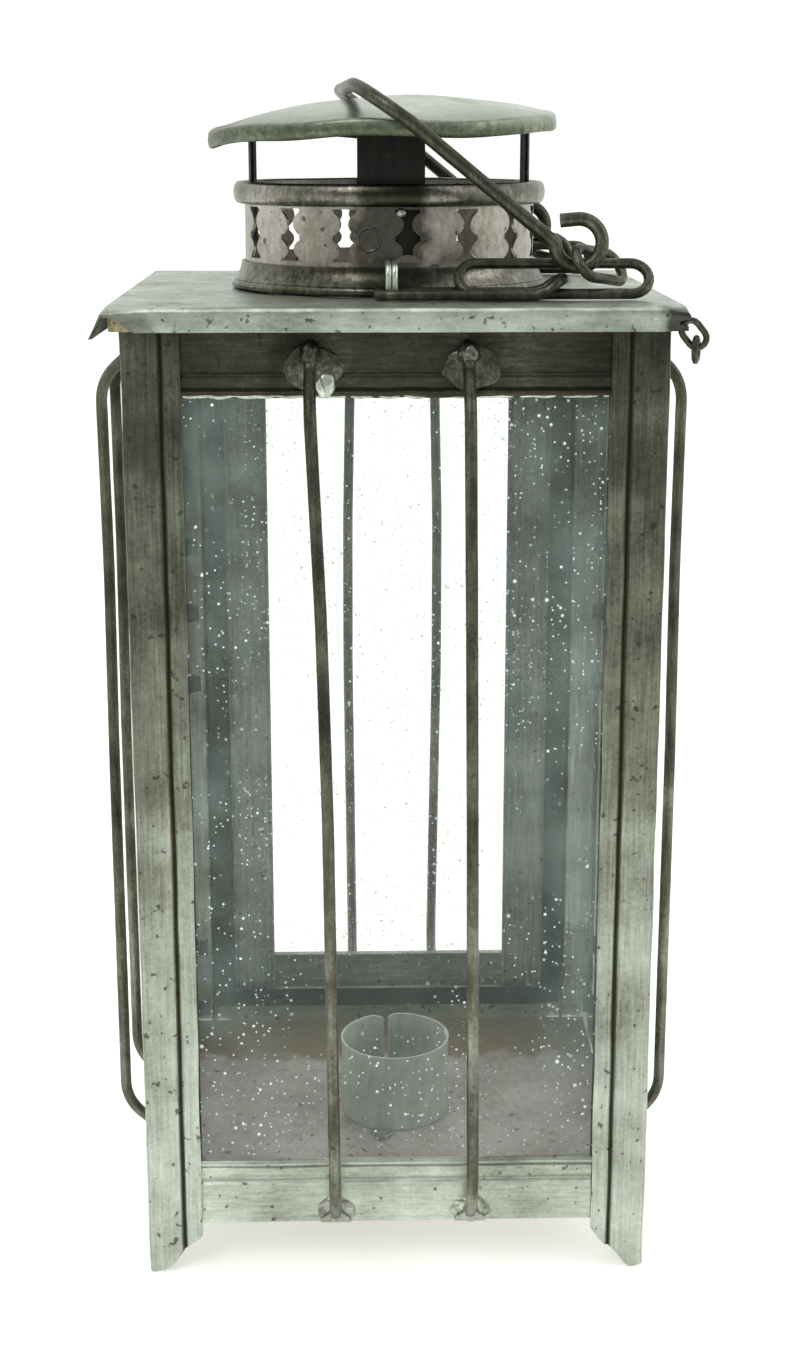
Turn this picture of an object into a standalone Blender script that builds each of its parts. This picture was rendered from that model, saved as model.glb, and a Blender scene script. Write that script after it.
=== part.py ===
"""Square candle lantern of tinned sheet iron.

Four folded corner posts carry a flat roof with a round vent and a raised cap. Three sides are fixed
glass panes and the rear side is a hinged, glazed door. Bent wire bars guard every pane. A wire bail
hangs from two chains of three links, one at the front and one at the rear of the vent.
The lantern stands on the XY plane, centred on the Z axis, with its front towards -Y. Units: metres.
"""

import math

import bmesh
import bpy
from mathutils import Euler, Matrix, Vector

# Driving dimensions
GAP = 0.0003
SHEET = 0.0008
BODY = 0.130
HALF = BODY / 2
POST_FACE = 0.014
ROOF_TOP = 0.2514
ROOF_HALF = 0.069
ROOF_DROP = 0.0056
LOOSE_CORNER = 0.004
LOOSE_CUT = 0.0028
GLASS = 0.002
LINK_WIRE = 0.0013
BAIL_WIRE = 0.0017

# Corner posts
POST_TOP = ROOF_TOP - SHEET - GAP
POST_CREASE = 0.0093
CREASE_WIDTH = 0.0006
CREASE_DEPTH = 0.0003
FOOT_TIP = 0.0035
FOOT_RISE = 0.011

# Rails between the posts
RAIL_FACE = HALF - 0.001
RAIL_LENGTH = 2 * (HALF - POST_FACE - GAP)
LIP = 0.0006
SILL_BOTTOM = 0.0137
SILL_TOP = 0.0316
SILL_CREASE = 0.0254
HEAD_BOTTOM = 0.230
HEAD_CREASE = 0.2354
REAR_SILL_TOP = 0.0235
REAR_HEAD_BOTTOM = 0.236

# Guard bars: across position at the top, at the bottom, and how far the middle bows sideways
GUARD_WIRE = 0.0015
GUARD_REACH = 0.077
GUARD_HEIGHTS = (0.2415, 0.2375, 0.0172, 0.0139)
GUARD_KNEE = 0.0085
GUARD_BEND = 0.0055
FRONT_BARS = {"left": (-0.0204, -0.0160, 0.0012), "right": (0.0171, 0.0192, 0.0002)}
SIDE_BARS = {"rear": (0.016, 0.016, 0.0008), "front": (-0.016, -0.016, -0.0006)}
DOOR_BARS = {"left": (0.0110, 0.0115, 0.0010), "right": (-0.0145, -0.0140, -0.0012)}

# Glass
PANE_FACE = RAIL_FACE - SHEET - GAP
PANE_HALF = 0.060
PANE_BOTTOM = 0.016
PANE_TOP = 0.243
CLIP_SHEET = 0.0006
CLIP_HEIGHTS = (0.0727, 0.0893, 0.1592, 0.1770, 0.1935)
CLIP_REACH = 0.0028
CLIP_ROOT = 0.0023
CLIP_TIP = 0.0018

# Floor and candle socket
FLOOR_HALF = 0.0626
FLOOR_BOTTOM = 0.014
FLOOR_TOP = FLOOR_BOTTOM + SHEET
SOCKET_X = 0.0008
SOCKET_RADIUS = 0.0155
SOCKET_TOP = 0.0374
SOCKET_SLIT = 0.0015
SOCKET_SLIT_ANGLE = math.radians(101)
SOCKET_TAB = 0.0058
SOCKET_TAB_HALF = 0.004
SOCKET_TAB_SHEET = 0.0006
SOCKET_TAB_ANGLE = math.radians(-100)

# Vent, all turned about the Z axis
VENT_X = -0.0005
GALLERY_RADIUS = 0.0377
GALLERY_TOP = ROOF_TOP + 0.0268
GALLERY_PIERS = 15
SLIT_HALF_WIDTHS = ((0.0030, 0.0), (0.0012, 0.26), (0.0026, 0.47), (0.00096, 0.74), (0.0030, 1.0))
SLIT_BOTTOM = ROOF_TOP + 0.0084
SLIT_TOP = ROOF_TOP + 0.0212
FLARE_RADIUS = 0.041
FLARE_HEIGHT = 0.0072
FLARE_WAIST = 0.0042
FLARE_ROLL = 0.0012
RING_RADIUS = 0.0407
RING_BOTTOM = ROOF_TOP + 0.0218
RING_TOP = ROOF_TOP + 0.0273
FLUE_RADIUS = 0.0364
STRAP_RADIUS = 0.0365
STRAP_HALF_ANGLE = math.radians(13)
STRAP_BOTTOM = ROOF_TOP + 0.0102
CAP_X = -0.0026
CAP_RADIUS = 0.045
CAP_APEX = ROOF_TOP + 0.0486
CAP_SHOULDER = ROOF_TOP + 0.0418
CAP_RIM = ROOF_TOP + 0.0382
CAP_TILT = math.radians(-2.2)

# Chain and bail; the rear chain is the front one mirrored and set over by BAIL_SKEW
BAIL_SKEW = -0.005
LINK_FLOOR = ROOF_TOP + GAP + LINK_WIRE
LINK_A_START = -0.004
LINK_A_LENGTH = 0.045
LINK_A_WIDTH = 0.00825
LINK_A_Y = 0.047
LINK_A_HUMP = 0.00355
LINK_A_HUMP_RUN = 0.0064
LINK_B_START = 0.0156
LINK_B_LENGTH = 0.0464
LINK_B_WIDTH = 0.0088
LINK_B_Y = 0.04755
LINK_B_TILT = math.radians(52)
LINK_C_CENTRE = (0.0499, 0.04453, 0.25968)
LINK_C_TURN = (math.radians(55.8), math.radians(7.5), math.radians(50.8))
LINK_C_LENGTH = 0.019
LINK_C_WIDTH = 0.008
LINK_C_PIVOT = (0.054, 0.0422, 0.2588)
EYE_X = -0.0007
EYE_WIRE = 0.0008
BAIL_Y = 0.048
BAIL_EYE = (0.0443, 0.2651)
BAIL_EYE_RADIUS = 0.0057
BAIL_APEX = (-0.009, 0.3021)
BAIL_CORNER = 0.016

# Stray links at the front right corner of the roof
CORNER_WIRE = 0.0008
CORNER_HOLE = (ROOF_HALF, -0.0662, 0.24813)
CORNER_HOLE_RADIUS = 0.0016
UPPER_LINK_CENTRE = (0.070, -0.0662, 0.245)
UPPER_LINK_LEAN = math.radians(39)
UPPER_LINK_LENGTH = 0.007
UPPER_LINK_WIDTH = 0.0044
LOWER_LINK_CENTRE = (0.0706, -0.0663, 0.2414)
LOWER_LINK_RADIUS = 0.0027
LOWER_LINK_TURN = math.radians(74)
LOWER_LINK_PIVOT = (0.0708, -0.0662, 0.2426)

# Rear door
DOOR_EDGE = HALF - POST_FACE - 0.0006
DOOR_BOTTOM = 0.0241
DOOR_TOP = 0.2354
DOOR_OPENING = 0.03625
DOOR_OPENING_BOTTOM = 0.0374
DOOR_OPENING_TOP = 0.221
DOOR_FOLD = 0.003
DOOR_PANE_FACE = 0.0616
HINGE_X = HALF - POST_FACE - GAP
KNUCKLE_RADIUS = 0.002
KNUCKLE_BORE = 0.0012
PIN_RADIUS = 0.0009
HINGE_Y = HALF + GAP + KNUCKLE_RADIUS
KNUCKLE_HEIGHT = 0.009
HINGE_HEIGHTS = {"lower": 0.058, "upper": 0.196}
LEAF_LENGTH = 0.0105
BUTTON_PIVOT = (-0.0555, 0.128)
BUTTON_HALF = 0.0105
BUTTON_RADIUS = 0.0035
BUTTON_SHEET = 0.001
BUTTON_BORE = 0.0018
BUTTON_RIVET = 0.0014

SIDES = {"front": 0.0, "right": math.pi / 2, "rear": math.pi, "left": -math.pi / 2}

for old in list(bpy.data.objects):
    bpy.data.objects.remove(old, do_unlink=True)

parts = bpy.data.collections.new("candle_lantern")
cutters = bpy.data.collections.new("cutters")
bpy.context.scene.collection.children.link(parts)
bpy.context.scene.collection.children.link(cutters)


def finish(name, colour, metallic, roughness, transmission=0.0):
    material = bpy.data.materials.new(name)
    material.use_nodes = True
    shader = material.node_tree.nodes["Principled BSDF"]
    shader.inputs["Base Color"].default_value = (*colour, 1.0)
    shader.inputs["Metallic"].default_value = metallic
    shader.inputs["Roughness"].default_value = roughness
    shader.inputs["Transmission Weight"].default_value = transmission
    return material


TIN = dict(colour=(0.30, 0.31, 0.26), metallic=0.9, roughness=0.5)
PALE_TIN = dict(colour=(0.42, 0.43, 0.38), metallic=0.9, roughness=0.42)
DARK_WIRE = dict(colour=(0.10, 0.10, 0.08), metallic=0.9, roughness=0.45)
OLD_GLASS = dict(colour=(0.72, 0.84, 0.82), metallic=0.0, roughness=0.05, transmission=0.9)


def place(piece, matrix, look):
    piece.matrix_world = matrix
    piece.data.materials.append(finish(piece.name, **look))
    parts.objects.link(piece)
    return piece


def flat_sheet(name, outlines, thickness, plane, centre, look, turn=0.0):
    """Flat outline in the XY, XZ or YZ plane, thickened equally both ways, then turned about Z."""
    curve = bpy.data.curves.new(name, "CURVE")
    curve.dimensions = "2D"
    curve.fill_mode = "BOTH"
    curve.extrude = thickness / 2
    for outline in outlines:
        spline = curve.splines.new("POLY")
        spline.points.add(len(outline) - 1)
        spline.use_cyclic_u = True
        for point, (a, b) in zip(spline.points, outline):
            point.co = (a, b, 0.0, 1.0)
    angles = {"XY": (0, 0, 0), "XZ": (math.pi / 2, 0, 0), "YZ": (math.pi / 2, 0, math.pi / 2)}
    stand = Euler(angles[plane]).to_matrix().to_4x4()
    matrix = Matrix.Rotation(turn, 4, "Z") @ Matrix.Translation(centre) @ stand
    return place(bpy.data.objects.new(name, curve), matrix, look)


def wire(name, points, radius, look, closed=False):
    """Round wire along a chain of points, bent links being closed."""
    curve = bpy.data.curves.new(name, "CURVE")
    curve.dimensions = "3D"
    curve.bevel_depth = radius
    curve.bevel_resolution = 2
    curve.use_fill_caps = not closed
    spline = curve.splines.new("POLY")
    spline.points.add(len(points) - 1)
    spline.use_cyclic_u = closed
    for point, place_of in zip(spline.points, points):
        point.co = (*place_of, 1.0)
    return place(bpy.data.objects.new(name, curve), Matrix(), look)


def turned(name, profile, segments, look, centre=(0, 0, 0), closed=False):
    """Profile of (radius, height) points turned about Z, running down its outer side."""
    mesh = bpy.data.meshes.new(name)
    edges = [(i, i + 1) for i in range(len(profile) - 1)]
    if closed:
        edges.append((len(profile) - 1, 0))
    mesh.from_pydata([(radius, 0.0, height) for radius, height in profile], edges, [])
    piece = place(bpy.data.objects.new(name, mesh), Matrix.Translation(centre), look)
    screw = piece.modifiers.new("turn", "SCREW")
    screw.steps = segments
    screw.render_steps = segments
    screw.use_merge_vertices = True
    screw.merge_threshold = 0.00001
    screw.use_smooth_shade = True
    return piece


def as_mesh(piece):
    """Mesh copy of a curve piece with its caps welded on."""
    bpy.context.view_layer.update()
    evaluated = piece.evaluated_get(bpy.context.evaluated_depsgraph_get())
    mesh = bpy.data.meshes.new_from_object(evaluated)
    name = piece.name
    matrix = piece.matrix_world.copy()
    curve = piece.data
    holder = piece.users_collection[0]
    bpy.data.objects.remove(piece, do_unlink=True)
    bpy.data.curves.remove(curve)
    work = bmesh.new()
    work.from_mesh(mesh)
    bmesh.ops.remove_doubles(work, verts=work.verts, dist=0.00001)
    work.to_mesh(mesh)
    work.free()
    mesh.name = name
    solid = bpy.data.objects.new(name, mesh)
    solid.matrix_world = matrix
    holder.objects.link(solid)
    return solid


def cut(piece, cutter):
    """Take one cutter away from a piece."""
    parts.objects.unlink(cutter)
    cutters.objects.link(cutter)
    cutter.hide_render = True
    cutter.display_type = "WIRE"
    boolean = piece.modifiers.new("cut_" + cutter.name, "BOOLEAN")
    boolean.operation = "DIFFERENCE"
    boolean.solver = "EXACT"
    boolean.object = cutter


def box(name, low, high, look):
    work = bmesh.new()
    bmesh.ops.create_cube(work, size=1.0)
    size = [b - a for a, b in zip(low, high)]
    bmesh.ops.scale(work, verts=work.verts, vec=size)
    mesh = bpy.data.meshes.new(name)
    work.to_mesh(mesh)
    work.free()
    middle = [(a + b) / 2 for a, b in zip(low, high)]
    return place(bpy.data.objects.new(name, mesh), Matrix.Translation(middle), look)


def rod(name, radius, length, matrix, look, segments=24):
    work = bmesh.new()
    bmesh.ops.create_cone(
        work, cap_ends=True, segments=segments, radius1=radius, radius2=radius, depth=length
    )
    mesh = bpy.data.meshes.new(name)
    work.to_mesh(mesh)
    work.free()
    mesh.shade_smooth()
    mesh.set_sharp_from_angle(angle=math.radians(40))
    return place(bpy.data.objects.new(name, mesh), matrix, look)


def rounded(points, radius, steps=5):
    """Chain of points with each inner corner replaced by a smooth bend."""
    path = [Vector(points[0])]
    for before, corner, after in zip(points, points[1:], points[2:]):
        corner = Vector(corner)
        to_before = Vector(before) - corner
        to_after = Vector(after) - corner
        reach = min(radius, to_before.length * 0.48, to_after.length * 0.48)
        start = corner + to_before.normalized() * reach
        end = corner + to_after.normalized() * reach
        for step in range(steps + 1):
            t = step / steps
            path.append((1 - t) ** 2 * start + 2 * t * (1 - t) * corner + t**2 * end)
    path.append(Vector(points[-1]))
    return path


def oval(length, width, steps=7):
    """Closed link outline with round ends, centred, long axis along X."""
    radius = width / 2
    straight = length / 2 - radius
    right = [(straight + radius * math.cos(a), radius * math.sin(a)) for a in arc(-90, 90, steps)]
    left = [(-straight + radius * math.cos(a), radius * math.sin(a)) for a in arc(90, 270, steps)]
    return right + left


def arc(start, end, steps):
    """Angles in radians between two angles in degrees."""
    return [math.radians(start + (end - start) * i / steps) for i in range(steps + 1)]


def empty_at(name, location):
    axis = bpy.data.objects.new(name, None)
    axis.location = location
    axis.empty_display_size = 0.01
    parts.objects.link(axis)
    bpy.context.view_layer.update()
    return axis


def hang_on(piece, axis):
    piece.parent = axis
    piece.matrix_parent_inverse = axis.matrix_world.inverted()


def corner_post(name, side_x, side_y):
    """L-shaped post with a pressed crease on both faces and a foot cut to a point."""
    lip = CREASE_WIDTH / 2
    face = [(0, 0), (POST_CREASE - lip, 0), (POST_CREASE, CREASE_DEPTH), (POST_CREASE + lip, 0)]
    face += [(POST_FACE, 0), (POST_FACE, SHEET)]
    section = face + [(SHEET, SHEET)] + [(b, a) for a, b in reversed(face[1:])]
    outline = [(side_x * (HALF - a), side_y * (HALF - b)) for a, b in section]
    post = flat_sheet(name, [outline], POST_TOP, "XY", (0, 0, POST_TOP / 2), TIN)
    post = as_mesh(post)
    slope = FOOT_RISE / (POST_FACE - FOOT_TIP)
    wedge = [(FOOT_TIP - 0.001, -0.002), (FOOT_TIP - 0.001, -0.001 * slope)]
    wedge += [(POST_FACE + 0.002, slope * (POST_FACE + 0.002 - FOOT_TIP)), (POST_FACE + 0.002, -0.002)]
    for plane, side, other in (("XZ", side_x, side_y), ("YZ", side_y, side_x)):
        outline = [(side * (HALF - along), up) for along, up in wedge]
        across = other * (HALF - 0.0005)
        centre = (0, across, 0) if plane == "XZ" else (across, 0, 0)
        cut(post, as_mesh(flat_sheet(f"{name}_foot_{plane}", [outline], 0.005, plane, centre, TIN)))


def rail(name, side, bottom, top, crease, lip_at_top):
    """Creased sheet rail with a rolled lip along the edge that meets the glass."""
    lip = CREASE_WIDTH / 2
    edge, inward = (top, -1) if lip_at_top else (bottom, 1)
    bead = [(0, edge + inward * 0.0022), (-LIP, edge + inward * 0.0016)]
    bead += [(-LIP, edge + inward * 0.0005), (0, edge)]
    groove = [(0, crease - lip), (CREASE_DEPTH, crease), (0, crease + lip)] if crease else []
    if lip_at_top:
        section = [(0, bottom)] + groove + bead + [(SHEET, top), (SHEET, bottom)]
    else:
        section = list(reversed(bead)) + groove + [(0, top), (SHEET, top), (SHEET, bottom)]
    outline = [(depth - RAIL_FACE, up) for depth, up in section]
    flat_sheet(name, [outline], RAIL_LENGTH, "YZ", (0, 0, 0), TIN, SIDES[side])


def pane(name, side):
    low, high = (-PANE_HALF, PANE_BOTTOM), (PANE_HALF, PANE_TOP)
    outline = [low, (high[0], low[1]), high, (low[0], high[1])]
    centre = (0, -(PANE_FACE - GLASS / 2), 0)
    flat_sheet(name, [outline], GLASS, "XZ", centre, OLD_GLASS, SIDES[side])


def guard_bar(name, side, across, foot_face, heights):
    """Bent wire bar: both ends lie on the rail and the run between stands off the glass."""
    across_top, across_bottom, bow = across
    foot = foot_face + GAP + GUARD_WIRE
    reach = GUARD_REACH - GUARD_WIRE
    high_end, high_bend, low_bend, low_end = heights
    run_top = high_bend - GUARD_KNEE
    run_bottom = low_bend + GUARD_KNEE
    middle = (across_top + across_bottom) / 2 + bow
    points = [(across_top, -foot, high_end), (across_top, -foot, high_bend)]
    points += [(across_top, -reach, run_top), (middle, -reach, (run_top + run_bottom) / 2)]
    points += [(across_bottom, -reach, run_bottom), (across_bottom, -foot, low_bend)]
    points += [(across_bottom, -foot, low_end)]
    turn = Matrix.Rotation(SIDES[side], 3, "Z")
    path = [turn @ point for point in rounded(points, GUARD_BEND, 6)]
    return wire(name, path, GUARD_WIRE, DARK_WIRE)


def glass_clip(name, side_x):
    """Strip behind the front pane whose bent tabs show past the post."""
    root = HALF - POST_FACE
    outline = [(PANE_HALF, PANE_BOTTOM), (root, PANE_BOTTOM)]
    for height in CLIP_HEIGHTS:
        outline += [(root, height - CLIP_ROOT), (root - CLIP_REACH, height - CLIP_TIP)]
        outline += [(root - CLIP_REACH, height + CLIP_TIP), (root, height + CLIP_ROOT)]
    outline += [(root, PANE_TOP), (PANE_HALF, PANE_TOP)]
    outline = [(side_x * across, up) for across, up in outline]
    depth = PANE_FACE - GLASS - GAP - CLIP_SHEET / 2
    flat_sheet(name, [outline], CLIP_SHEET, "XZ", (0, -depth, 0), TIN)


def candle_socket():
    """Open-seamed tube that grips the candle, with a soldered tab at its foot."""
    half_slit = math.degrees(SOCKET_SLIT / 2 / SOCKET_RADIUS)
    start = math.degrees(SOCKET_SLIT_ANGLE) + half_slit
    end = start + 360 - 2 * half_slit
    inner = SOCKET_RADIUS - SHEET
    around = arc(start, end, 40)
    outline = [(SOCKET_RADIUS * math.cos(a), SOCKET_RADIUS * math.sin(a)) for a in around]
    outline += [(inner * math.cos(a), inner * math.sin(a)) for a in reversed(around)]
    height = SOCKET_TOP - FLOOR_TOP - GAP
    centre = (SOCKET_X, 0, FLOOR_TOP + GAP + height / 2)
    flat_sheet("candle_socket", [outline], height, "XY", centre, PALE_TIN)
    near = SOCKET_RADIUS + GAP
    tab = [(near, -SOCKET_TAB_HALF), (near + SOCKET_TAB, 0), (near, SOCKET_TAB_HALF)]
    centre = (SOCKET_X, 0, FLOOR_TOP + GAP + SOCKET_TAB_SHEET / 2)
    flat_sheet("socket_tab", [tab], SOCKET_TAB_SHEET, "XY", centre, PALE_TIN, SOCKET_TAB_ANGLE)


def roof():
    """Flat roof with flanges turned down, the flue hole and the stray links' hole."""
    low = (-ROOF_HALF, -ROOF_HALF, ROOF_TOP - ROOF_DROP)
    roof_plate = box("roof_plate", low, (ROOF_HALF, ROOF_HALF, ROOF_TOP), PALE_TIN)
    inner = ROOF_HALF - SHEET
    below = (-inner, -inner, ROOF_TOP - 0.02)
    cut(roof_plate, box("roof_hollow", below, (inner, inner, ROOF_TOP - SHEET), TIN))
    flue = Matrix.Translation((VENT_X, 0, ROOF_TOP))
    cut(roof_plate, rod("roof_flue", FLUE_RADIUS, 0.01, flue, TIN, 60))
    hole = Matrix.Translation(CORNER_HOLE) @ Matrix.Rotation(math.pi / 2, 4, "Y")
    cut(roof_plate, rod("roof_corner_hole", CORNER_HOLE_RADIUS, 0.004, hole, TIN, 16))
    outside = -ROOF_HALF - 0.002
    fold = ROOF_TOP - SHEET - 0.0004
    loose = [(outside, fold), (outside, ROOF_TOP - 2 * ROOF_DROP)]
    loose += [(-ROOF_HALF + LOOSE_CORNER, ROOF_TOP - 2 * ROOF_DROP)]
    loose += [(-ROOF_HALF + LOOSE_CORNER, ROOF_TOP - ROOF_DROP), (-ROOF_HALF + 0.0012, fold)]
    loose.reverse()
    corner = flat_sheet("roof_loose_corner", [loose], LOOSE_CUT, "XZ", (0, -ROOF_HALF, 0), TIN)
    cut(roof_plate, as_mesh(corner))


def gallery():
    """Pierced band: double-lobed piers between scalloped slits."""
    bottom = ROOF_TOP + GAP
    inner = GALLERY_RADIUS - SHEET
    profile = [(GALLERY_RADIUS, GALLERY_TOP), (GALLERY_RADIUS, bottom), (inner, bottom)]
    profile += [(inner, GALLERY_TOP)]
    band = turned("vent_gallery", profile, GALLERY_PIERS * 4, PALE_TIN, (VENT_X, 0, 0), True)
    height = SLIT_TOP - SLIT_BOTTOM
    slit = [(half, SLIT_BOTTOM + height * share) for half, share in SLIT_HALF_WIDTHS]
    slit += [(-half, up) for half, up in reversed(slit)]
    for number in range(GALLERY_PIERS):
        turn = math.tau * (number + 0.5) / GALLERY_PIERS
        depth = (0, -GALLERY_RADIUS, 0)
        cutter = as_mesh(flat_sheet(f"slit_{number}", [slit], 0.006, "XZ", depth, TIN, turn))
        cutter.matrix_world = Matrix.Translation((VENT_X, 0, 0)) @ cutter.matrix_world
        cut(band, cutter)


def cap_underside(x, y):
    """Height of the cap's lower surface above a point of the ground plan."""
    radius = math.hypot(x - CAP_X, y)
    rise = CAP_APEX - CAP_SHOULDER
    return CAP_APEX - SHEET - rise * (radius / CAP_RADIUS) ** 2 - (x - CAP_X) * math.sin(CAP_TILT)


def vent():
    """Flared collar on the roof, the pierced band inside it and the beaded ring round its top."""
    neck = GALLERY_RADIUS + GAP
    outer = [(neck + SHEET, FLARE_HEIGHT), (neck + 2 * SHEET, FLARE_WAIST)]
    outer += [(FLARE_RADIUS - SHEET / 2, FLARE_ROLL + 0.001), (FLARE_RADIUS, FLARE_ROLL)]
    outer += [(FLARE_RADIUS - SHEET / 2, GAP)]
    inner = [(FLARE_RADIUS - 2 * SHEET, GAP), (FLARE_RADIUS - 2.5 * SHEET, FLARE_ROLL + SHEET)]
    inner += [(neck, FLARE_WAIST), (neck, FLARE_HEIGHT)]
    collar = [(radius, ROOF_TOP + up) for radius, up in outer + inner]
    turned("vent_flare", collar, 60, PALE_TIN, (VENT_X, 0, 0), True)
    gallery()
    middle = (RING_TOP + RING_BOTTOM) / 2
    centre = (RING_RADIUS + neck) / 2
    half_width = (RING_RADIUS - neck) / 2
    half_height = (RING_TOP - RING_BOTTOM) / 2
    round_section = arc(90, -250, 9)
    bead = [(centre + half_width * math.cos(a), middle + half_height * math.sin(a)) for a in round_section]
    turned("vent_ring", bead, 60, PALE_TIN, (VENT_X, 0, 0), True)


def cap_straps():
    """Four curved straps that stand inside the gallery and carry the cap."""
    for side, turn in SIDES.items():
        around = arc(-90 - math.degrees(STRAP_HALF_ANGLE), -90 + math.degrees(STRAP_HALF_ANGLE), 6)
        inner = STRAP_RADIUS - SHEET
        outline = [(STRAP_RADIUS * math.cos(a), STRAP_RADIUS * math.sin(a)) for a in around]
        outline += [(inner * math.cos(a), inner * math.sin(a)) for a in reversed(around)]
        seat = Matrix.Rotation(turn, 3, "Z") @ Vector((0, -STRAP_RADIUS, 0))
        ends = [Matrix.Rotation(turn, 3, "Z") @ Vector((a, b, 0)) for a, b in outline]
        top = min(cap_underside(end.x + VENT_X, end.y) for end in ends) - GAP
        height = top - STRAP_BOTTOM
        strap = flat_sheet(
            f"cap_strap_{side}", [outline], height, "XY", (0, 0, STRAP_BOTTOM + height / 2), TIN, turn
        )
        strap.location.x += VENT_X


def cap():
    """Shallow domed cap with a turned-down rim, tilted a little to one side."""
    steps = 7
    rise = CAP_APEX - CAP_SHOULDER
    shares = [i / steps for i in range(steps + 1)]
    outer = [(CAP_RADIUS * s, rise * (1 - s * s) + CAP_SHOULDER - CAP_APEX) for s in shares]
    outer[0] = (0.0, 0.0)
    drop = CAP_RIM - CAP_APEX
    rim = [(CAP_RADIUS + 0.0003, drop + 0.0012), (CAP_RADIUS, drop), (CAP_RADIUS - SHEET, drop)]
    inner = [(r * (CAP_RADIUS - SHEET) / CAP_RADIUS, h - SHEET) for r, h in reversed(outer)]
    dome = turned("cap", outer + rim + inner, 60, PALE_TIN)
    dome.matrix_world = Matrix.Translation((CAP_X, 0, CAP_APEX)) @ Matrix.Rotation(CAP_TILT, 4, "Y")


def link_a(side):
    """Long link that lies on the roof, its free end bent up over the next link."""
    path = []
    for along, across in oval(LINK_A_LENGTH, LINK_A_WIDTH):
        past = (along + LINK_A_LENGTH / 2 - LINK_A_LENGTH + LINK_A_HUMP_RUN) / LINK_A_HUMP_RUN
        lift = min(max(past, 0.0), 1.0)
        up = LINK_FLOOR + LINK_A_HUMP * lift * lift * (3 - 2 * lift)
        path.append((LINK_A_START + LINK_A_LENGTH / 2 + along, side * (LINK_A_Y - across), up))
    return path


def link_b(side):
    """Second long link, leaning back with its rear wire raised."""
    path = []
    for along, across in oval(LINK_B_LENGTH, LINK_B_WIDTH):
        reach = across + LINK_B_WIDTH / 2
        inward = LINK_B_Y - reach * math.cos(LINK_B_TILT)
        up = LINK_FLOOR + reach * math.sin(LINK_B_TILT)
        path.append((LINK_B_START + LINK_B_LENGTH / 2 + along, side * inward, up))
    return path


def link_c(side):
    """Short link between the second link and the bail's eye."""
    turn = Euler(LINK_C_TURN).to_matrix()
    path = []
    for along, across in oval(LINK_C_LENGTH, LINK_C_WIDTH):
        point = turn @ Vector((along, across, 0))
        x, y, z = LINK_C_CENTRE
        path.append((x + point.x, side * (y - point.y), z + point.z))
    return path


def chain_eye(side):
    """Wire staple from the vent down over the first link to the roof."""
    start = GALLERY_RADIUS + 2 * GAP
    top = ROOF_TOP + FLARE_HEIGHT + EYE_WIRE + 0.0005
    points = [(EYE_X, side * start, top), (EYE_X, side * (LINK_A_Y - 0.0006), top)]
    points += [(EYE_X, side * (LINK_A_Y - 0.0006), ROOF_TOP + GAP)]
    return rounded(points, 0.003)


def chains():
    """Front chain towards -Y, rear chain towards +Y."""
    for label, side, shift in (("front", -1, 0.0), ("rear", 1, BAIL_SKEW)):
        offset = Vector((shift, 0, 0))
        wire(f"chain_eye_{label}", [p + offset for p in chain_eye(side)], EYE_WIRE, PALE_TIN)
        for letter, path in (("a", link_a(side)), ("b", link_b(side)), ("c", link_c(side))):
            moved = [Vector(point) + offset for point in path]
            link = wire(f"chain_link_{letter}_{label}", moved, LINK_WIRE, DARK_WIRE, True)
            pivots = {"a": (LINK_A_START, LINK_A_Y, LINK_FLOOR), "c": LINK_C_PIVOT}
            pivots["b"] = (LINK_B_START, LINK_B_Y, LINK_FLOOR)
            x, y, z = pivots[letter]
            hang_on(link, empty_at(f"axis_chain_{letter}_{label}", (x + shift, side * y, z)))


def bail():
    """Wire bail: a flat-topped arch over the cap with an open eye at each foot."""
    apex_x, apex_z = BAIL_APEX
    eye_x, eye_z = BAIL_EYE
    knee = (eye_x - BAIL_EYE_RADIUS, eye_z + 0.0040)
    leg = [(apex_x, apex_z), knee]
    curl = [
        (eye_x + BAIL_EYE_RADIUS * math.cos(a), eye_z + BAIL_EYE_RADIUS * math.sin(a))
        for a in arc(180, 450, 20)
    ]
    curl.append((eye_x - 0.0045, eye_z + BAIL_EYE_RADIUS - 0.0004))

    def at(side, point):
        share = (side * BAIL_Y + BAIL_Y) / (2 * BAIL_Y)
        return Vector((point[0] + BAIL_SKEW * share, side * BAIL_Y, point[1]))

    arch = [at(-1, knee), at(-1, leg[0]), at(1, leg[0]), at(1, knee)]
    bends = rounded(arch, BAIL_CORNER, 8)[1:-1]
    near = [at(-1, point) for point in reversed(curl)]
    far = [at(1, point) for point in curl]
    path = near + bends + far
    piece = wire("bail_handle", path, BAIL_WIRE, DARK_WIRE)
    hang_on(piece, empty_at("axis_bail", (eye_x + BAIL_SKEW / 2, 0, eye_z)))


def corner_links():
    """Two small stray links that hang from the dented corner of the roof."""
    lean = Matrix.Rotation(math.pi / 2 - UPPER_LINK_LEAN, 3, "Y")
    upper = []
    for along, across in oval(UPPER_LINK_LENGTH, UPPER_LINK_WIDTH):
        upper.append(lean @ Vector((along, 0, across)) + Vector(UPPER_LINK_CENTRE))
    link = wire("corner_link_upper", upper, CORNER_WIRE, DARK_WIRE, True)
    hang_on(link, empty_at("axis_corner_upper", CORNER_HOLE))
    across = Vector((math.cos(LOWER_LINK_TURN), math.sin(LOWER_LINK_TURN), 0))
    lower = []
    for angle in arc(0, 345, 23):
        spoke = across * math.cos(angle) - Vector((0, 0, 1)) * math.sin(angle)
        lower.append(Vector(LOWER_LINK_CENTRE) + LOWER_LINK_RADIUS * spoke)
    ring = wire("corner_link_lower", lower, CORNER_WIRE, DARK_WIRE, True)
    hang_on(ring, empty_at("axis_corner_lower", LOWER_LINK_PIVOT))


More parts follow.
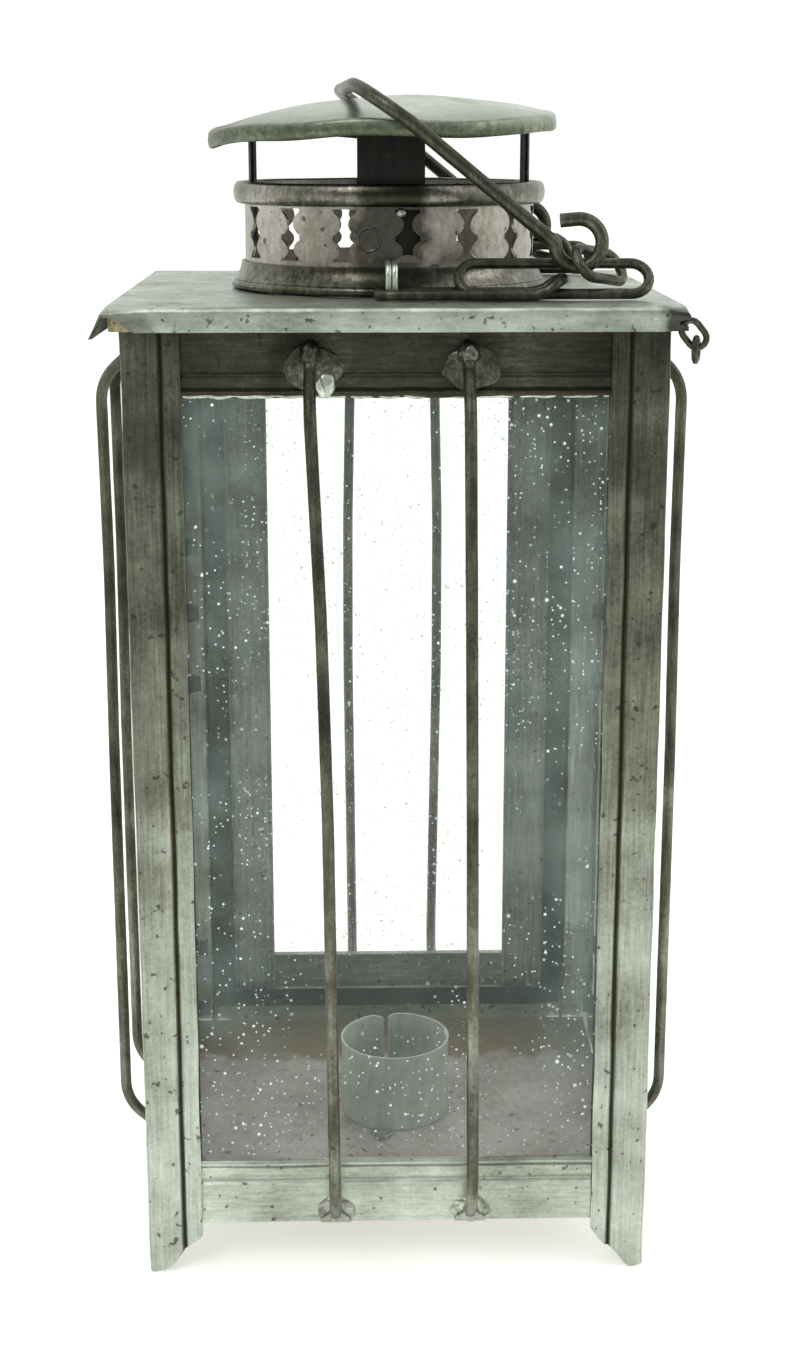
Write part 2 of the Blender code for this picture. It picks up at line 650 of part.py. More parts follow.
def channel(start, end):
    """Folded channel section across a door member: face outwards, both edges turned in."""
    turned_in = HALF - DOOR_FOLD
    section = [(start, HALF), (end, HALF), (end, turned_in), (end - SHEET, turned_in)]
    section += [(end - SHEET, HALF - SHEET), (start + SHEET, HALF - SHEET)]
    return section + [(start + SHEET, turned_in), (start, turned_in)]


def knuckle(name, height, side, look):
    """Rolled barrel with its leaf, as one sheet; side +1 lies on the post and -1 on the door."""
    around = arc(-90, 180, 18)
    outline = [(KNUCKLE_RADIUS * math.cos(a), KNUCKLE_RADIUS * math.sin(a)) for a in around]
    mouth = -KNUCKLE_RADIUS + SHEET
    outline += [(-KNUCKLE_RADIUS * 0.95, mouth), (-LEAF_LENGTH, mouth), (-LEAF_LENGTH, -KNUCKLE_RADIUS)]
    bore = [(KNUCKLE_BORE * math.cos(a), KNUCKLE_BORE * math.sin(a)) for a in arc(0, 337.5, 15)]
    outline = [(-side * a, b) for a, b in outline]
    centre = (HINGE_X, HINGE_Y, height)
    return flat_sheet(name, [outline, bore], KNUCKLE_HEIGHT, "XY", centre, look)


def rear_door():
    """Glazed door frame on two hinges, with its own guard bars."""
    hinge_axis = empty_at("axis_door", (HINGE_X, HINGE_Y, 0))
    tall = DOOR_TOP - DOOR_BOTTOM
    centre = (0, 0, (DOOR_TOP + DOOR_BOTTOM) / 2)
    stile_hinge = channel(DOOR_OPENING, DOOR_EDGE)
    stile_latch = channel(-DOOR_EDGE, -DOOR_OPENING)
    door = [flat_sheet("door_stile_hinge", [stile_hinge], tall, "XY", centre, TIN)]
    door.append(flat_sheet("door_stile_latch", [stile_latch], tall, "XY", centre, TIN))
    wide = 2 * (DOOR_OPENING - GAP)
    top = [(b, a) for a, b in channel(DOOR_OPENING_TOP, DOOR_TOP)]
    bottom = [(b, a) for a, b in channel(DOOR_BOTTOM, DOOR_OPENING_BOTTOM)]
    door.append(flat_sheet("door_rail_top", [top], wide, "YZ", (0, 0, 0), TIN))
    door.append(flat_sheet("door_rail_bottom", [bottom], wide, "YZ", (0, 0, 0), TIN))
    half = DOOR_OPENING + 0.008
    low, high = DOOR_OPENING_BOTTOM - 0.008, DOOR_OPENING_TOP + 0.008
    glass = [(-half, low), (half, low), (half, high), (-half, high)]
    centre = (0, DOOR_PANE_FACE - GLASS / 2, 0)
    door.append(flat_sheet("door_pane", [glass], GLASS, "XZ", centre, OLD_GLASS))
    heights = (DOOR_TOP - 0.0016, DOOR_TOP - 0.0060, DOOR_BOTTOM + 0.0060, DOOR_BOTTOM + 0.0016)
    for label, across in DOOR_BARS.items():
        door.append(guard_bar(f"door_bar_{label}", "rear", across, HALF, heights))
    step = KNUCKLE_HEIGHT / 2 + GAP / 2
    for label, z in HINGE_HEIGHTS.items():
        door.append(knuckle(f"door_leaf_{label}", z + step, -1, TIN))
        knuckle(f"post_leaf_{label}", z - step, 1, TIN)
    low, high = min(HINGE_HEIGHTS.values()), max(HINGE_HEIGHTS.values())
    length = high - low + 2 * KNUCKLE_HEIGHT + 0.004
    shaft = Matrix.Translation((HINGE_X, HINGE_Y, (low + high) / 2))
    rod("hinge_pin", PIN_RADIUS, length, shaft, DARK_WIRE, 16)
    for piece in door:
        hang_on(piece, hinge_axis)


def turn_button():
    """Small plate on a rivet that turns across the door's edge to keep it shut."""
    x, z = BUTTON_PIVOT
    outline = [(b, a) for a, b in oval(2 * BUTTON_HALF, 2 * BUTTON_RADIUS, 10)]
    bore = [(BUTTON_BORE * math.cos(a), BUTTON_BORE * math.sin(a)) for a in arc(0, 337.5, 15)]
    y = HALF + 2 * GAP + BUTTON_SHEET / 2
    button = flat_sheet("turn_button", [outline, bore], BUTTON_SHEET, "XZ", (x, y, z), TIN)
    hang_on(button, empty_at("axis_button", (x, y, z)))
    base = HALF + GAP
    head = base + BUTTON_SHEET + 2 * GAP
    profile = [(0, head + 0.0009), (0.0016, head + 0.0007), (0.0025, head), (BUTTON_RIVET, head)]
    profile += [(BUTTON_RIVET, base), (0, base)]
    rivet = turned("button_rivet", profile, 16, PALE_TIN)
    rivet.matrix_world = Matrix.Translation((x, 0, z)) @ Matrix.Rotation(-math.pi / 2, 4, "X")


def build():
    for label_y, side_y in (("front", -1), ("rear", 1)):
        for label_x, side_x in (("left", -1), ("right", 1)):
            corner_post(f"post_{label_y}_{label_x}", side_x, side_y)
    for side in ("front", "left", "right"):
        rail(f"bottom_rail_{side}", side, SILL_BOTTOM, SILL_TOP, SILL_CREASE, True)
        rail(f"top_rail_{side}", side, HEAD_BOTTOM, POST_TOP, HEAD_CREASE, False)
        pane(f"pane_{side}", side)
    rail("rear_sill", "rear", SILL_BOTTOM, REAR_SILL_TOP, None, True)
    rail("rear_header", "rear", REAR_HEAD_BOTTOM, POST_TOP, None, False)
    for label, across in FRONT_BARS.items():
        guard_bar(f"guard_bar_front_{label}", "front", across, RAIL_FACE, GUARD_HEIGHTS)
    for side, toward_rear in (("left", -1), ("right", 1)):
        for label, (top, bottom, bow) in SIDE_BARS.items():
            across = (toward_rear * top, toward_rear * bottom, bow)
            guard_bar(f"guard_bar_{side}_{label}", side, across, RAIL_FACE, GUARD_HEIGHTS)
    glass_clip("glass_clip_left", -1)
    glass_clip("glass_clip_right", 1)
    square = [(-FLOOR_HALF, -FLOOR_HALF), (FLOOR_HALF, -FLOOR_HALF)]
    square += [(FLOOR_HALF, FLOOR_HALF), (-FLOOR_HALF, FLOOR_HALF)]
    middle = (0, 0, (FLOOR_BOTTOM + FLOOR_TOP) / 2)
    flat_sheet("floor_plate", [square], SHEET, "XY", middle, PALE_TIN)
    candle_socket()
    roof()
    vent()
    cap_straps()
    cap()
    chains()
    bail()
    corner_links()
    rear_door()
    turn_button()


build()
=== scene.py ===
import math

import bmesh
import bpy
from mathutils import Euler, Matrix, Vector, noise


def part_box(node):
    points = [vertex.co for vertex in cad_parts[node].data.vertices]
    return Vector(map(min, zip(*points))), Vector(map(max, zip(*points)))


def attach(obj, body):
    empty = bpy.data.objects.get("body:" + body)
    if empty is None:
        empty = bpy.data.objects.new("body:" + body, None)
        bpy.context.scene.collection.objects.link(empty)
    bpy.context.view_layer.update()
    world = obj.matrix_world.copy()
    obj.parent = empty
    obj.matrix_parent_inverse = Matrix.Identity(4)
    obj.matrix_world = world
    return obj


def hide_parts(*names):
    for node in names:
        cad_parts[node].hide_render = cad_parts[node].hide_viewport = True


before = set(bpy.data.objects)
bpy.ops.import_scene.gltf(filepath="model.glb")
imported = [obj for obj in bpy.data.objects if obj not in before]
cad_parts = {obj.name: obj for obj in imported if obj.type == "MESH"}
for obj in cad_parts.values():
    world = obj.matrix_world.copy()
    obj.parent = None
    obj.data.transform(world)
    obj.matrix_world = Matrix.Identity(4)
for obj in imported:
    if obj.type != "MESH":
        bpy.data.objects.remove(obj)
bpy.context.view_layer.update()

# Corner posts
# Each post is one strip of tinned sheet iron folded to an angle, with a line pressed along both faces and the
# foot snipped to a slanted point. Years of handling left streaks along the sheet and rust in the line.

POST_HALF = 0.065
POST_FACE = 0.014
POST_LINE = 0.0093
SHEET = 0.0008
FOOT_TIP = 0.0035
FOOT_RISE = 0.011


def srgb(code):
    """Linear colour of an sRGB hex value."""
    shares = [int(code[i : i + 2], 16) / 255 for i in (1, 3, 5)]
    return (*[s / 12.92 if s <= 0.04045 else ((s + 0.055) / 1.055) ** 2.4 for s in shares], 1.0)


def node(tree, kind, inputs=None, **settings):
    """Adds one node with its settings, and sets or links its inputs."""
    made = tree.nodes.new(kind)
    for name, value in settings.items():
        setattr(made, name, value)
    for name, value in (inputs or {}).items():
        if isinstance(value, bpy.types.NodeSocket):
            tree.links.new(value, made.inputs[name])
        else:
            made.inputs[name].default_value = value
    return made


def tinned_iron(
    name,
    tones,
    grain,
    fade=0.0,
    lines=0.0,
    freckles=0.66,
    gloss=(0.36, 0.60),
    metallic=0.8,
    heights=(0.01, 0.25),
    mottle=1.0,
):
    """Tinplate dulled by age. tones run from dirt to bare tin, grain stretches the streaks along the sheet,
    fade darkens it upwards between two heights, lines browns the pressed lines, mottle is the contrast."""
    made = bpy.data.materials.new(name)
    made.use_nodes = True
    tree = made.node_tree
    shader = tree.nodes["Principled BSDF"]
    at = node(tree, "ShaderNodeTexCoord").outputs["Object"]
    rolled = node(tree, "ShaderNodeMapping", {"Vector": at, "Scale": grain}).outputs[0]
    streaks = node(
        tree, "ShaderNodeTexNoise", {"Vector": rolled, "Scale": 620.0, "Detail": 5.0, "Roughness": 0.65}
    )
    clouds = node(tree, "ShaderNodeTexNoise", {"Vector": at, "Scale": 48.0, "Detail": 6.0, "Roughness": 0.6})
    specks = node(
        tree, "ShaderNodeTexNoise", {"Vector": at, "Scale": 1100.0, "Detail": 3.0, "Roughness": 0.6}
    )
    split = node(tree, "ShaderNodeSeparateXYZ", {0: at})
    height = node(
        tree,
        "ShaderNodeMapRange",
        {
            "Value": split.outputs["Z"],
            "From Min": heights[0],
            "From Max": heights[1],
            "To Min": fade,
            "To Max": -fade,
        },
        interpolation_type="SMOOTHSTEP",
    )
    tone = node(
        tree,
        "ShaderNodeMath",
        {0: clouds.outputs[0], 1: 1.35 * mottle, 2: 0.5 - 1.325 * mottle},
        operation="MULTIPLY_ADD",
    )
    tone = node(
        tree,
        "ShaderNodeMath",
        {0: streaks.outputs[0], 1: 0.85 * mottle, 2: tone.outputs[0]},
        operation="MULTIPLY_ADD",
    )
    tone = node(
        tree,
        "ShaderNodeMath",
        {0: specks.outputs[0], 1: 0.45 * mottle, 2: tone.outputs[0]},
        operation="MULTIPLY_ADD",
    )
    tone = node(
        tree, "ShaderNodeMath", {0: tone.outputs[0], 1: height.outputs[0]}, operation="ADD", use_clamp=True
    )
    ramp = node(tree, "ShaderNodeValToRGB", {0: tone.outputs[0]})
    ramp.color_ramp.elements[0].color = srgb(tones[0])
    ramp.color_ramp.elements[1].color = srgb(tones[-1])
    for number, code in enumerate(tones[1:-1]):
        ramp.color_ramp.elements.new((number + 1) / (len(tones) - 1)).color = srgb(code)
    blotches = node(
        tree, "ShaderNodeTexNoise", {"Vector": at, "Scale": 420.0, "Detail": 2.0, "Roughness": 0.5}
    )
    mask = node(
        tree,
        "ShaderNodeMapRange",
        {"Value": blotches.outputs[0], "From Min": freckles, "From Max": freckles + 0.05, "To Max": 0.75},
    )
    colour = node(
        tree, "ShaderNodeMix", {0: mask.outputs[0], 6: ramp.outputs[0], 7: srgb("#2B2C22")}, data_type="RGBA"
    )
    if lines:
        nearest = []
        for axis in ("X", "Y"):
            size = node(tree, "ShaderNodeMath", {0: split.outputs[axis]}, operation="ABSOLUTE").outputs[0]
            off = node(
                tree, "ShaderNodeMath", {0: size, 1: POST_HALF - POST_LINE}, operation="SUBTRACT"
            ).outputs[0]
            nearest.append(node(tree, "ShaderNodeMath", {0: off}, operation="ABSOLUTE").outputs[0])
        gap = node(tree, "ShaderNodeMath", {0: nearest[0], 1: nearest[1]}, operation="MINIMUM").outputs[0]
        ragged = node(
            tree, "ShaderNodeMath", {0: streaks.outputs[0], 1: -0.0016, 2: 0.0018}, operation="MULTIPLY_ADD"
        ).outputs[0]
        line = node(
            tree,
            "ShaderNodeMapRange",
            {"Value": gap, "From Min": ragged, "From Max": 0.0003, "To Min": 0.0, "To Max": lines},
        ).outputs[0]
        colour = node(
            tree, "ShaderNodeMix", {0: line, 6: colour.outputs[2], 7: srgb("#3B2F1E")}, data_type="RGBA"
        )
    tree.links.new(colour.outputs[2], shader.inputs["Base Color"])
    sheen = node(
        tree,
        "ShaderNodeMapRange",
        {"Value": tone.outputs[0], "To Min": gloss[1], "To Max": gloss[0]},
    )
    tree.links.new(sheen.outputs[0], shader.inputs["Roughness"])
    shader.inputs["Metallic"].default_value = metallic
    relief = node(tree, "ShaderNodeMath", {0: streaks.outputs[0], 1: specks.outputs[0]}, operation="ADD")
    bump = node(
        tree, "ShaderNodeBump", {"Height": relief.outputs[0], "Strength": 0.22, "Distance": 0.0002}
    )
    tree.links.new(bump.outputs[0], shader.inputs["Normal"])
    return made


def closed(mesh, angle=35):
    """Welds doubles, turns every face outwards and keeps folds sharp."""
    work = bmesh.new()
    work.from_mesh(mesh)
    bmesh.ops.remove_doubles(work, verts=work.verts, dist=1e-7)
    bmesh.ops.dissolve_degenerate(work, edges=work.edges, dist=1e-7)
    bmesh.ops.delete(work, geom=[edge for edge in work.edges if not edge.link_faces], context="EDGES")
    bmesh.ops.recalc_face_normals(work, faces=work.faces)
    if work.calc_volume(signed=True) < 0:
        bmesh.ops.reverse_faces(work, faces=work.faces)
    work.to_mesh(mesh)
    work.free()
    mesh.shade_smooth()
    mesh.set_sharp_from_angle(angle=math.radians(angle))
    return mesh


def sheet_solid(name, outer, inner, loop=False):
    """Closed sheet between two grids of points, rows by columns, whose columns may run full circle."""
    rows, columns = len(outer), len(outer[0])
    layer = rows * columns
    spans = columns if loop else columns - 1
    faces = []
    for row in range(rows - 1):
        for column in range(spans):
            a = row * columns + column
            b = row * columns + (column + 1) % columns
            faces.append((a, b, b + columns, a + columns))
            faces.append((layer + a + columns, layer + b + columns, layer + b, layer + a))
    for row in (0, rows - 1):
        for column in range(spans):
            a = row * columns + column
            b = row * columns + (column + 1) % columns
            faces.append((a, a + layer, b + layer, b))
    if not loop:
        for column in (0, columns - 1):
            for row in range(rows - 1):
                a = row * columns + column
                faces.append((a, a + columns, a + columns + layer, a + layer))
    mesh = bpy.data.meshes.new(name)
    points = [tuple(point) for grid in (outer, inner) for row in grid for point in row]
    mesh.from_pydata(points, [], faces)
    return closed(mesh)


def fit(name, mesh, finish, body, slot, *stands_for):
    """Puts a finished mesh on its body, with its material, in place of the plain solids it stands for."""
    piece = bpy.data.objects.new(name, mesh)
    bpy.context.scene.collection.objects.link(piece)
    if finish:
        mesh.materials.clear()
        mesh.materials.append(finish)
    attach(piece, body)
    if stands_for:
        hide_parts(*stands_for)
    return piece


def dented(point, depth, seed=0.0):
    """Shallow waves of hand-worked sheet at a point, in metres."""
    return depth * noise.noise(Vector(point) * 55 + Vector((seed, 0, seed)))


def post_profile(along):
    """How far the post's face stands in at a distance from its fold: two swelled bands and the line."""
    groove = 0.00055 * max(0.0, 1 - abs(along - POST_LINE) / 0.0007)
    if along < POST_LINE:
        return groove - 0.00025 * math.sin(math.pi * along / POST_LINE)
    return groove - 0.0003 * math.sin(math.pi * (along - POST_LINE) / (POST_FACE - POST_LINE))


# Upright streaks beside a rusty pressed line, pale at the foot and brown at the top; the darkening upwards is
# painted shade.
post_tin = tinned_iron(
    "streaked_tinplate",
    ("#2A2A22", "#4C4D42", "#77796C", "#A5AA9F", "#CBD0C7"),
    (2.2, 2.2, 0.09),
    fade=0.30,
    lines=0.85,
    gloss=(0.30, 0.54),
    mottle=0.62,
)
POST_STEPS = (0.014, 0.0137, 0.0128, 0.0118, 0.0108, 0.0100, 0.0097, 0.0093, 0.0089, 0.0086, 0.0078)
POST_STEPS += (0.0064, 0.005, 0.0036, 0.0026, 0.0018, 0.0012, 0.0006, 0.0002)
for side_y, depth_name in ((-1, "front"), (1, "rear")):
    for side_x, across_name in ((-1, "left"), (1, "right")):
        post = f"post_{depth_name}_{across_name}"
        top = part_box(post)[1].z
        corner = 0.0006
        outline = [(t, post_profile(t) + corner * max(0.0, 1 - t / 0.0012) ** 2) for t in POST_STEPS]
        outline += [(b, a) for a, b in reversed(outline)]
        inside = []
        for a, b in outline:
            if a > b:
                inside.append((max(a, SHEET + 0.0002), max(b, 0.0) + SHEET))
            else:
                inside.append((max(a, 0.0) + SHEET, max(b, SHEET + 0.0002)))
        outer, inner = [], []
        for row in range(61):
            share = row / 60
            grids = ((outline, outer), (inside, inner))
            for points, grid in grids:
                line = []
                for (a, b), (edge_a, edge_b) in zip(points, outline):
                    along = max(edge_a, edge_b)
                    foot = max(0.0, along - FOOT_TIP) * FOOT_RISE / (POST_FACE - FOOT_TIP)
                    foot += 0.0005 * math.sin(along * 900 + side_x)
                    foot = max(0.0, foot)
                    z = foot + (top - foot) * share
                    wave = dented((side_x * a, side_y * b, z), 0.00025, 3.1 * side_x + side_y)
                    line.append((side_x * (POST_HALF - a - wave), side_y * (POST_HALF - b - wave), z))
                grid.append(line)
        fit(f"{post}_folded", sheet_solid(post, outer, inner), post_tin, "lantern_body", "aged_tin", post)

# Rails
# Creased strips of tinplate soldered between the posts. The edge next to the glass is rolled to a fine bead.
# They are darker towards the top of the lantern, which is painted shade.

# Level streaks, pale on the bottom rails and brown under the roof, a darkening upwards that is painted shade.
rail_tin = tinned_iron(
    "rolled_tinplate",
    ("#25241C", "#413F34", "#6B6C60", "#A6ACA0", "#CFD5CB"),
    (0.18, 0.18, 2.0),
    fade=0.30,
    gloss=(0.30, 0.54),
    mottle=0.55,
)
TURNS = {"front": 0.0, "right": math.pi / 2, "rear": math.pi, "left": -math.pi / 2}


def rail_outline(bottom, top, crease, bead_at_top):
    """Heights and depths of a rail's face from its bottom edge to its top edge."""
    steps = 26
    outline = []
    for number in range(steps + 1):
        z = bottom + (top - bottom) * number / steps
        outline.append((z, 0.0))
    if crease:
        outline = [point for point in outline if abs(point[0] - crease) > 0.0009]
        outline += [
            (crease - 0.0007, 0.0),
            (crease - 0.0002, 0.0004),
            (crease + 0.0002, 0.0004),
            (crease + 0.0007, -0.0002),
        ]
    edge, inward = (top, -1) if bead_at_top else (bottom, 1)
    outline = [point for point in outline if abs(point[0] - edge) > 0.0026]
    for number in range(9):
        angle = math.pi * number / 8
        outline.append((edge + inward * (0.0009 - 0.0009 * math.cos(angle)), -0.0007 * math.sin(angle)))
    outline.append((edge + inward * 0.0021, 0.0003))
    outline.append((edge + inward * 0.0025, 0.0))
    return sorted(outline)


def rail(name, side, crease, bead_at_top):
    """Rail on one side of the body, with a crease at a height and a bead along one edge."""
    low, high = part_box(name)
    face = 0.064
    half = 0.0510
    outline = rail_outline(low.z, high.z, crease, bead_at_top)
    turn = Matrix.Rotation(TURNS[side], 3, "Z")
    outer, inner = [], []
    for column in range(49):
        x = -half + 2 * half * column / 48
        front, back = [], []
        for z, depth in outline:
            wave = dented((x, face * (1 + TURNS[side]), z), 0.0003)
            sag = 0.0
            if not bead_at_top and z < low.z + 0.003:
                sag = 0.00025 * noise.noise(Vector((x * 160, TURNS[side], 0)))
            front.append(turn @ Vector((x, -face + depth + wave, z + sag)))
            back.append(turn @ Vector((x, -face + max(depth, 0.0) + SHEET + wave, z + sag)))
        outer.append(front)
        inner.append(back)
    fit(f"{name}_creased", sheet_solid(name, outer, inner), rail_tin, "lantern_body", "aged_tin", name)


for side in ("front", "left", "right"):
    rail(f"bottom_rail_{side}", side, 0.0254, True)
    rail(f"top_rail_{side}", side, 0.2354, False)
rail("rear_sill", "rear", None, True)
rail("rear_header", "rear", None, False)

# Glass
# Old hand-cut window glass: faintly blue green, with a grey haze, wiped streaks, fly specks and small
# white spots of lime. The haze is thickest near the edges of each pane, where a cloth doesn't reach.

PANE_EDGE = 0.051


def old_glass(name, flat_axis, haze):
    """Window glass lying in a plane; flat_axis is the letter of the axis across it."""
    made = bpy.data.materials.new(name)
    made.use_nodes = True
    tree = made.node_tree
    shader = tree.nodes["Principled BSDF"]
    at = node(tree, "ShaderNodeTexCoord").outputs["Object"]
    clouds = node(tree, "ShaderNodeTexNoise", {"Vector": at, "Scale": 42.0, "Detail": 6.0, "Roughness": 0.62})
    cloud = node(
        tree,
        "ShaderNodeMapRange",
        {"Value": clouds.outputs[0], "From Min": 0.42, "From Max": 0.75, "To Max": 1.0},
    ).outputs[0]
    split = node(tree, "ShaderNodeSeparateXYZ", {0: at})
    side_axis = "X" if flat_axis == "Y" else "Y"
    across = node(tree, "ShaderNodeMath", {0: split.outputs[side_axis]}, operation="ABSOLUTE").outputs[0]
    margin = node(
        tree,
        "ShaderNodeMapRange",
        {"Value": across, "From Min": PANE_EDGE * 0.45, "From Max": PANE_EDGE, "To Max": 1.0},
        interpolation_type="SMOOTHSTEP",
    ).outputs[0]
    dull = node(tree, "ShaderNodeMath", {0: cloud, 1: margin}, operation="MULTIPLY").outputs[0]
    film = node(
        tree, "ShaderNodeMath", {0: dull, 1: 0.16 * haze, 2: 0.02 + 0.03 * haze}, operation="MULTIPLY_ADD"
    ).outputs[0]
    spots = None
    for cell, size, share in ((620.0, 0.20, 0.50), (260.0, 0.135, 0.42), (120.0, 0.085, 0.30)):
        drops = node(tree, "ShaderNodeTexVoronoi", {"Vector": at, "Scale": cell, "Randomness": 1.0})
        round_spot = node(
            tree,
            "ShaderNodeMapRange",
            {"Value": drops.outputs["Distance"], "From Min": size, "From Max": size * 0.45, "To Max": 1.0},
        ).outputs[0]
        chosen = node(tree, "ShaderNodeSeparateColor", {0: drops.outputs["Color"]})
        some = node(
            tree, "ShaderNodeMath", {0: chosen.outputs[0], 1: share}, operation="GREATER_THAN"
        ).outputs[0]
        spot = node(tree, "ShaderNodeMath", {0: round_spot, 1: some}, operation="MULTIPLY").outputs[0]
        if spots is None:
            spots = spot
        else:
            spots = node(tree, "ShaderNodeMath", {0: spots, 1: spot}, operation="MAXIMUM").outputs[0]
    crowd = node(tree, "ShaderNodeTexNoise", {"Vector": at, "Scale": 30.0, "Detail": 2.0})
    crowded = node(
        tree,
        "ShaderNodeMapRange",
        {"Value": crowd.outputs[0], "From Min": 0.40, "From Max": 0.53, "To Min": 0.12},
    ).outputs[0]
    spots = node(tree, "ShaderNodeMath", {0: spots, 1: crowded}, operation="MULTIPLY").outputs[0]
    colour = node(
        tree, "ShaderNodeMix", {0: spots, 6: srgb("#B2C4BF"), 7: srgb("#FAFFFF")}, data_type="RGBA"
    ).outputs[2]
    alpha = node(
        tree, "ShaderNodeMath", {0: spots, 1: 0.9, 2: film}, operation="MULTIPLY_ADD", use_clamp=True
    )
    tree.links.new(colour, shader.inputs["Base Color"])
    tree.links.new(alpha.outputs[0], shader.inputs["Alpha"])
    shader.inputs["Roughness"].default_value = 0.08
    shader.inputs["IOR"].default_value = 1.5
    ripple = node(tree, "ShaderNodeTexNoise", {"Vector": at, "Scale": 28.0, "Detail": 1.0})
    bump = node(tree, "ShaderNodeBump", {"Height": ripple.outputs[0], "Strength": 0.15, "Distance": 0.0005})
    tree.links.new(bump.outputs[0], shader.inputs["Normal"])
    return made


def dress(node_name, finish):
    """Gives a plain solid that keeps its shape its real finish."""
    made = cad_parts[node_name]
    made.data.materials.clear()
    made.data.materials.append(finish)


# The front pane is the dustiest, and the one in the door is almost clear.
dress("pane_front", old_glass("front_window_glass", "Y", 1.3))
side_glass = old_glass("side_window_glass", "X", 0.8)
dress("pane_left", side_glass)
dress("pane_right", side_glass)
dress("door_pane", old_glass("door_window_glass", "Y", 0.25))
# Nearly black, so that the edges of the glass are framed by a dark line. The door's gap strips use it as
# painted shade.
clip_tin = tinned_iron(
    "tarnished_tin_strip", ("#0D0F09", "#1C1F17", "#2F332A", "#43473D"), (1.0, 1.0, 0.2), metallic=0.5
)
dress("glass_clip_left", clip_tin)
dress("glass_clip_right", clip_tin)

# Floor and candle socket
# The floor is a tinned plate with a brown band of wax and heat along its rear edge. The socket is a strip
# rolled to a tube, its ends bent inwards beside an open seam, with a small triangle of solder at its foot.

# A pinkish grey with the dull surface of old wax.
floor_tin = tinned_iron(
    "wax_stained_tin",
    ("#6A6058", "#948A83", "#B0A7A1", "#C3C0BC", "#D6D6D2"),
    (1.0, 0.5, 1.0),
    gloss=(0.42, 0.65),
    metallic=0.25,
    mottle=0.7,
)


def stain_and_light_patch(material, code, centre, along, reach, edge, amount):
    """Tints a finish around a centre, for real stains and for painted light and shade. along weighs the three
    axes, and edge is how far the border wanders.
    """
    tree = material.node_tree
    shader = tree.nodes["Principled BSDF"]
    bare = shader.inputs["Base Color"].links[0].from_socket
    at = node(tree, "ShaderNodeTexCoord").outputs["Object"]
    away = node(tree, "ShaderNodeVectorMath", {0: at, 1: centre}, operation="SUBTRACT").outputs[0]
    away = node(tree, "ShaderNodeVectorMath", {0: away, 1: along}, operation="MULTIPLY").outputs[0]
    away = node(tree, "ShaderNodeVectorMath", {0: away}, operation="LENGTH").outputs["Value"]
    border = node(tree, "ShaderNodeTexNoise", {"Vector": at, "Scale": 130.0, "Detail": 5.0}).outputs[0]
    away = node(
        tree, "ShaderNodeMath", {0: border, 1: 3 * edge, 2: away}, operation="MULTIPLY_ADD"
    ).outputs[0]
    mask = node(
        tree,
        "ShaderNodeMapRange",
        {"Value": away, "From Min": reach + 2 * edge, "From Max": reach + edge, "To Max": amount},
    ).outputs[0]
    mixed = node(tree, "ShaderNodeMix", {0: mask, 6: bare, 7: srgb(code)}, data_type="RGBA").outputs[2]
    tree.links.new(mixed, shader.inputs["Base Color"])


stain_and_light_patch(floor_tin, "#7A6647", (0.0, 0.056, 0.0), (0.0, 1.0, 0.0), 0.022, 0.008, 0.85)
dress("floor_plate", floor_tin)
# Pale and matt, which lifts the socket off the darker floor.
socket_tin = tinned_iron(
    "dull_socket_tin",
    ("#6B6F65", "#959B90", "#B2B9AE", "#CDD3CA", "#E4E8E0"),
    (1.0, 1.0, 0.25),
    freckles=0.74,
    metallic=0.15,
    mottle=0.6,
)
SOCKET_RADIUS = 0.0155
socket_low, socket_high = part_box("candle_socket")
socket_x = 0.0008
outer, inner = [], []
seam = math.radians(101)
for row in range(17):
    z = socket_low.z + (socket_high.z - socket_low.z) * row / 16
    lip = 0.0003 * max(0.0, (row - 14) / 2)
    ring_out, ring_in = [], []
    for column in range(97):
        share = column / 96
        angle = seam + math.radians(3.2) + share * math.radians(360 - 6.4)
        nearest = min(share, 1 - share)
        curl = 0.0026 * max(0.0, 1 - nearest / 0.035) ** 1.6
        radius = SOCKET_RADIUS + lip - curl - 0.0002 * math.cos(2 * angle + 0.7)
        for grid, r in ((ring_out, radius), (ring_in, radius - 0.0006)):
            grid.append((socket_x + r * math.cos(angle), r * math.sin(angle), z))
    outer.append(ring_out)
    inner.append(ring_in)
fit(
    "candle_socket_rolled",
    sheet_solid("candle_socket", outer, inner),
    socket_tin,
    "lantern_body",
    "pale_tin",
    "candle_socket",
)
# The brightest metal on the lantern, smooth and nearly white.
solder = tinned_iron(
    "bright_solder",
    ("#4B4E46", "#8A8F86", "#B9BEB4", "#DDE2DA", "#F0F3EC"),
    (1.0, 1.0, 1.0),
    freckles=0.70,
    gloss=(0.22, 0.45),
    metallic=0.9,
)
dress("socket_tab", solder)

# Roof
# A square plate whose edges are turned down over the body. The front left corner was never soldered: the left
# flange stands off it and a folded scrap fills the gap. The front right corner is knocked in and holed.

ROOF_HALF = 0.069
roof_low, roof_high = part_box("roof_plate")
roof_top = roof_high.z
roof_drop = roof_high.z - roof_low.z
FLUE = 0.0364
vent_x = -0.0005
# Pale, freckled metal, the lightest of the large sheets.
roof_tin = tinned_iron(
    "weathered_roof_tin",
    ("#4E5247", "#80867A", "#A3AA9E", "#C1C7BC", "#DCE1D8"),
    (0.25, 1.0, 1.0),
    freckles=0.63,
    gloss=(0.30, 0.5),
    metallic=0.7,
    mottle=0.8,
)
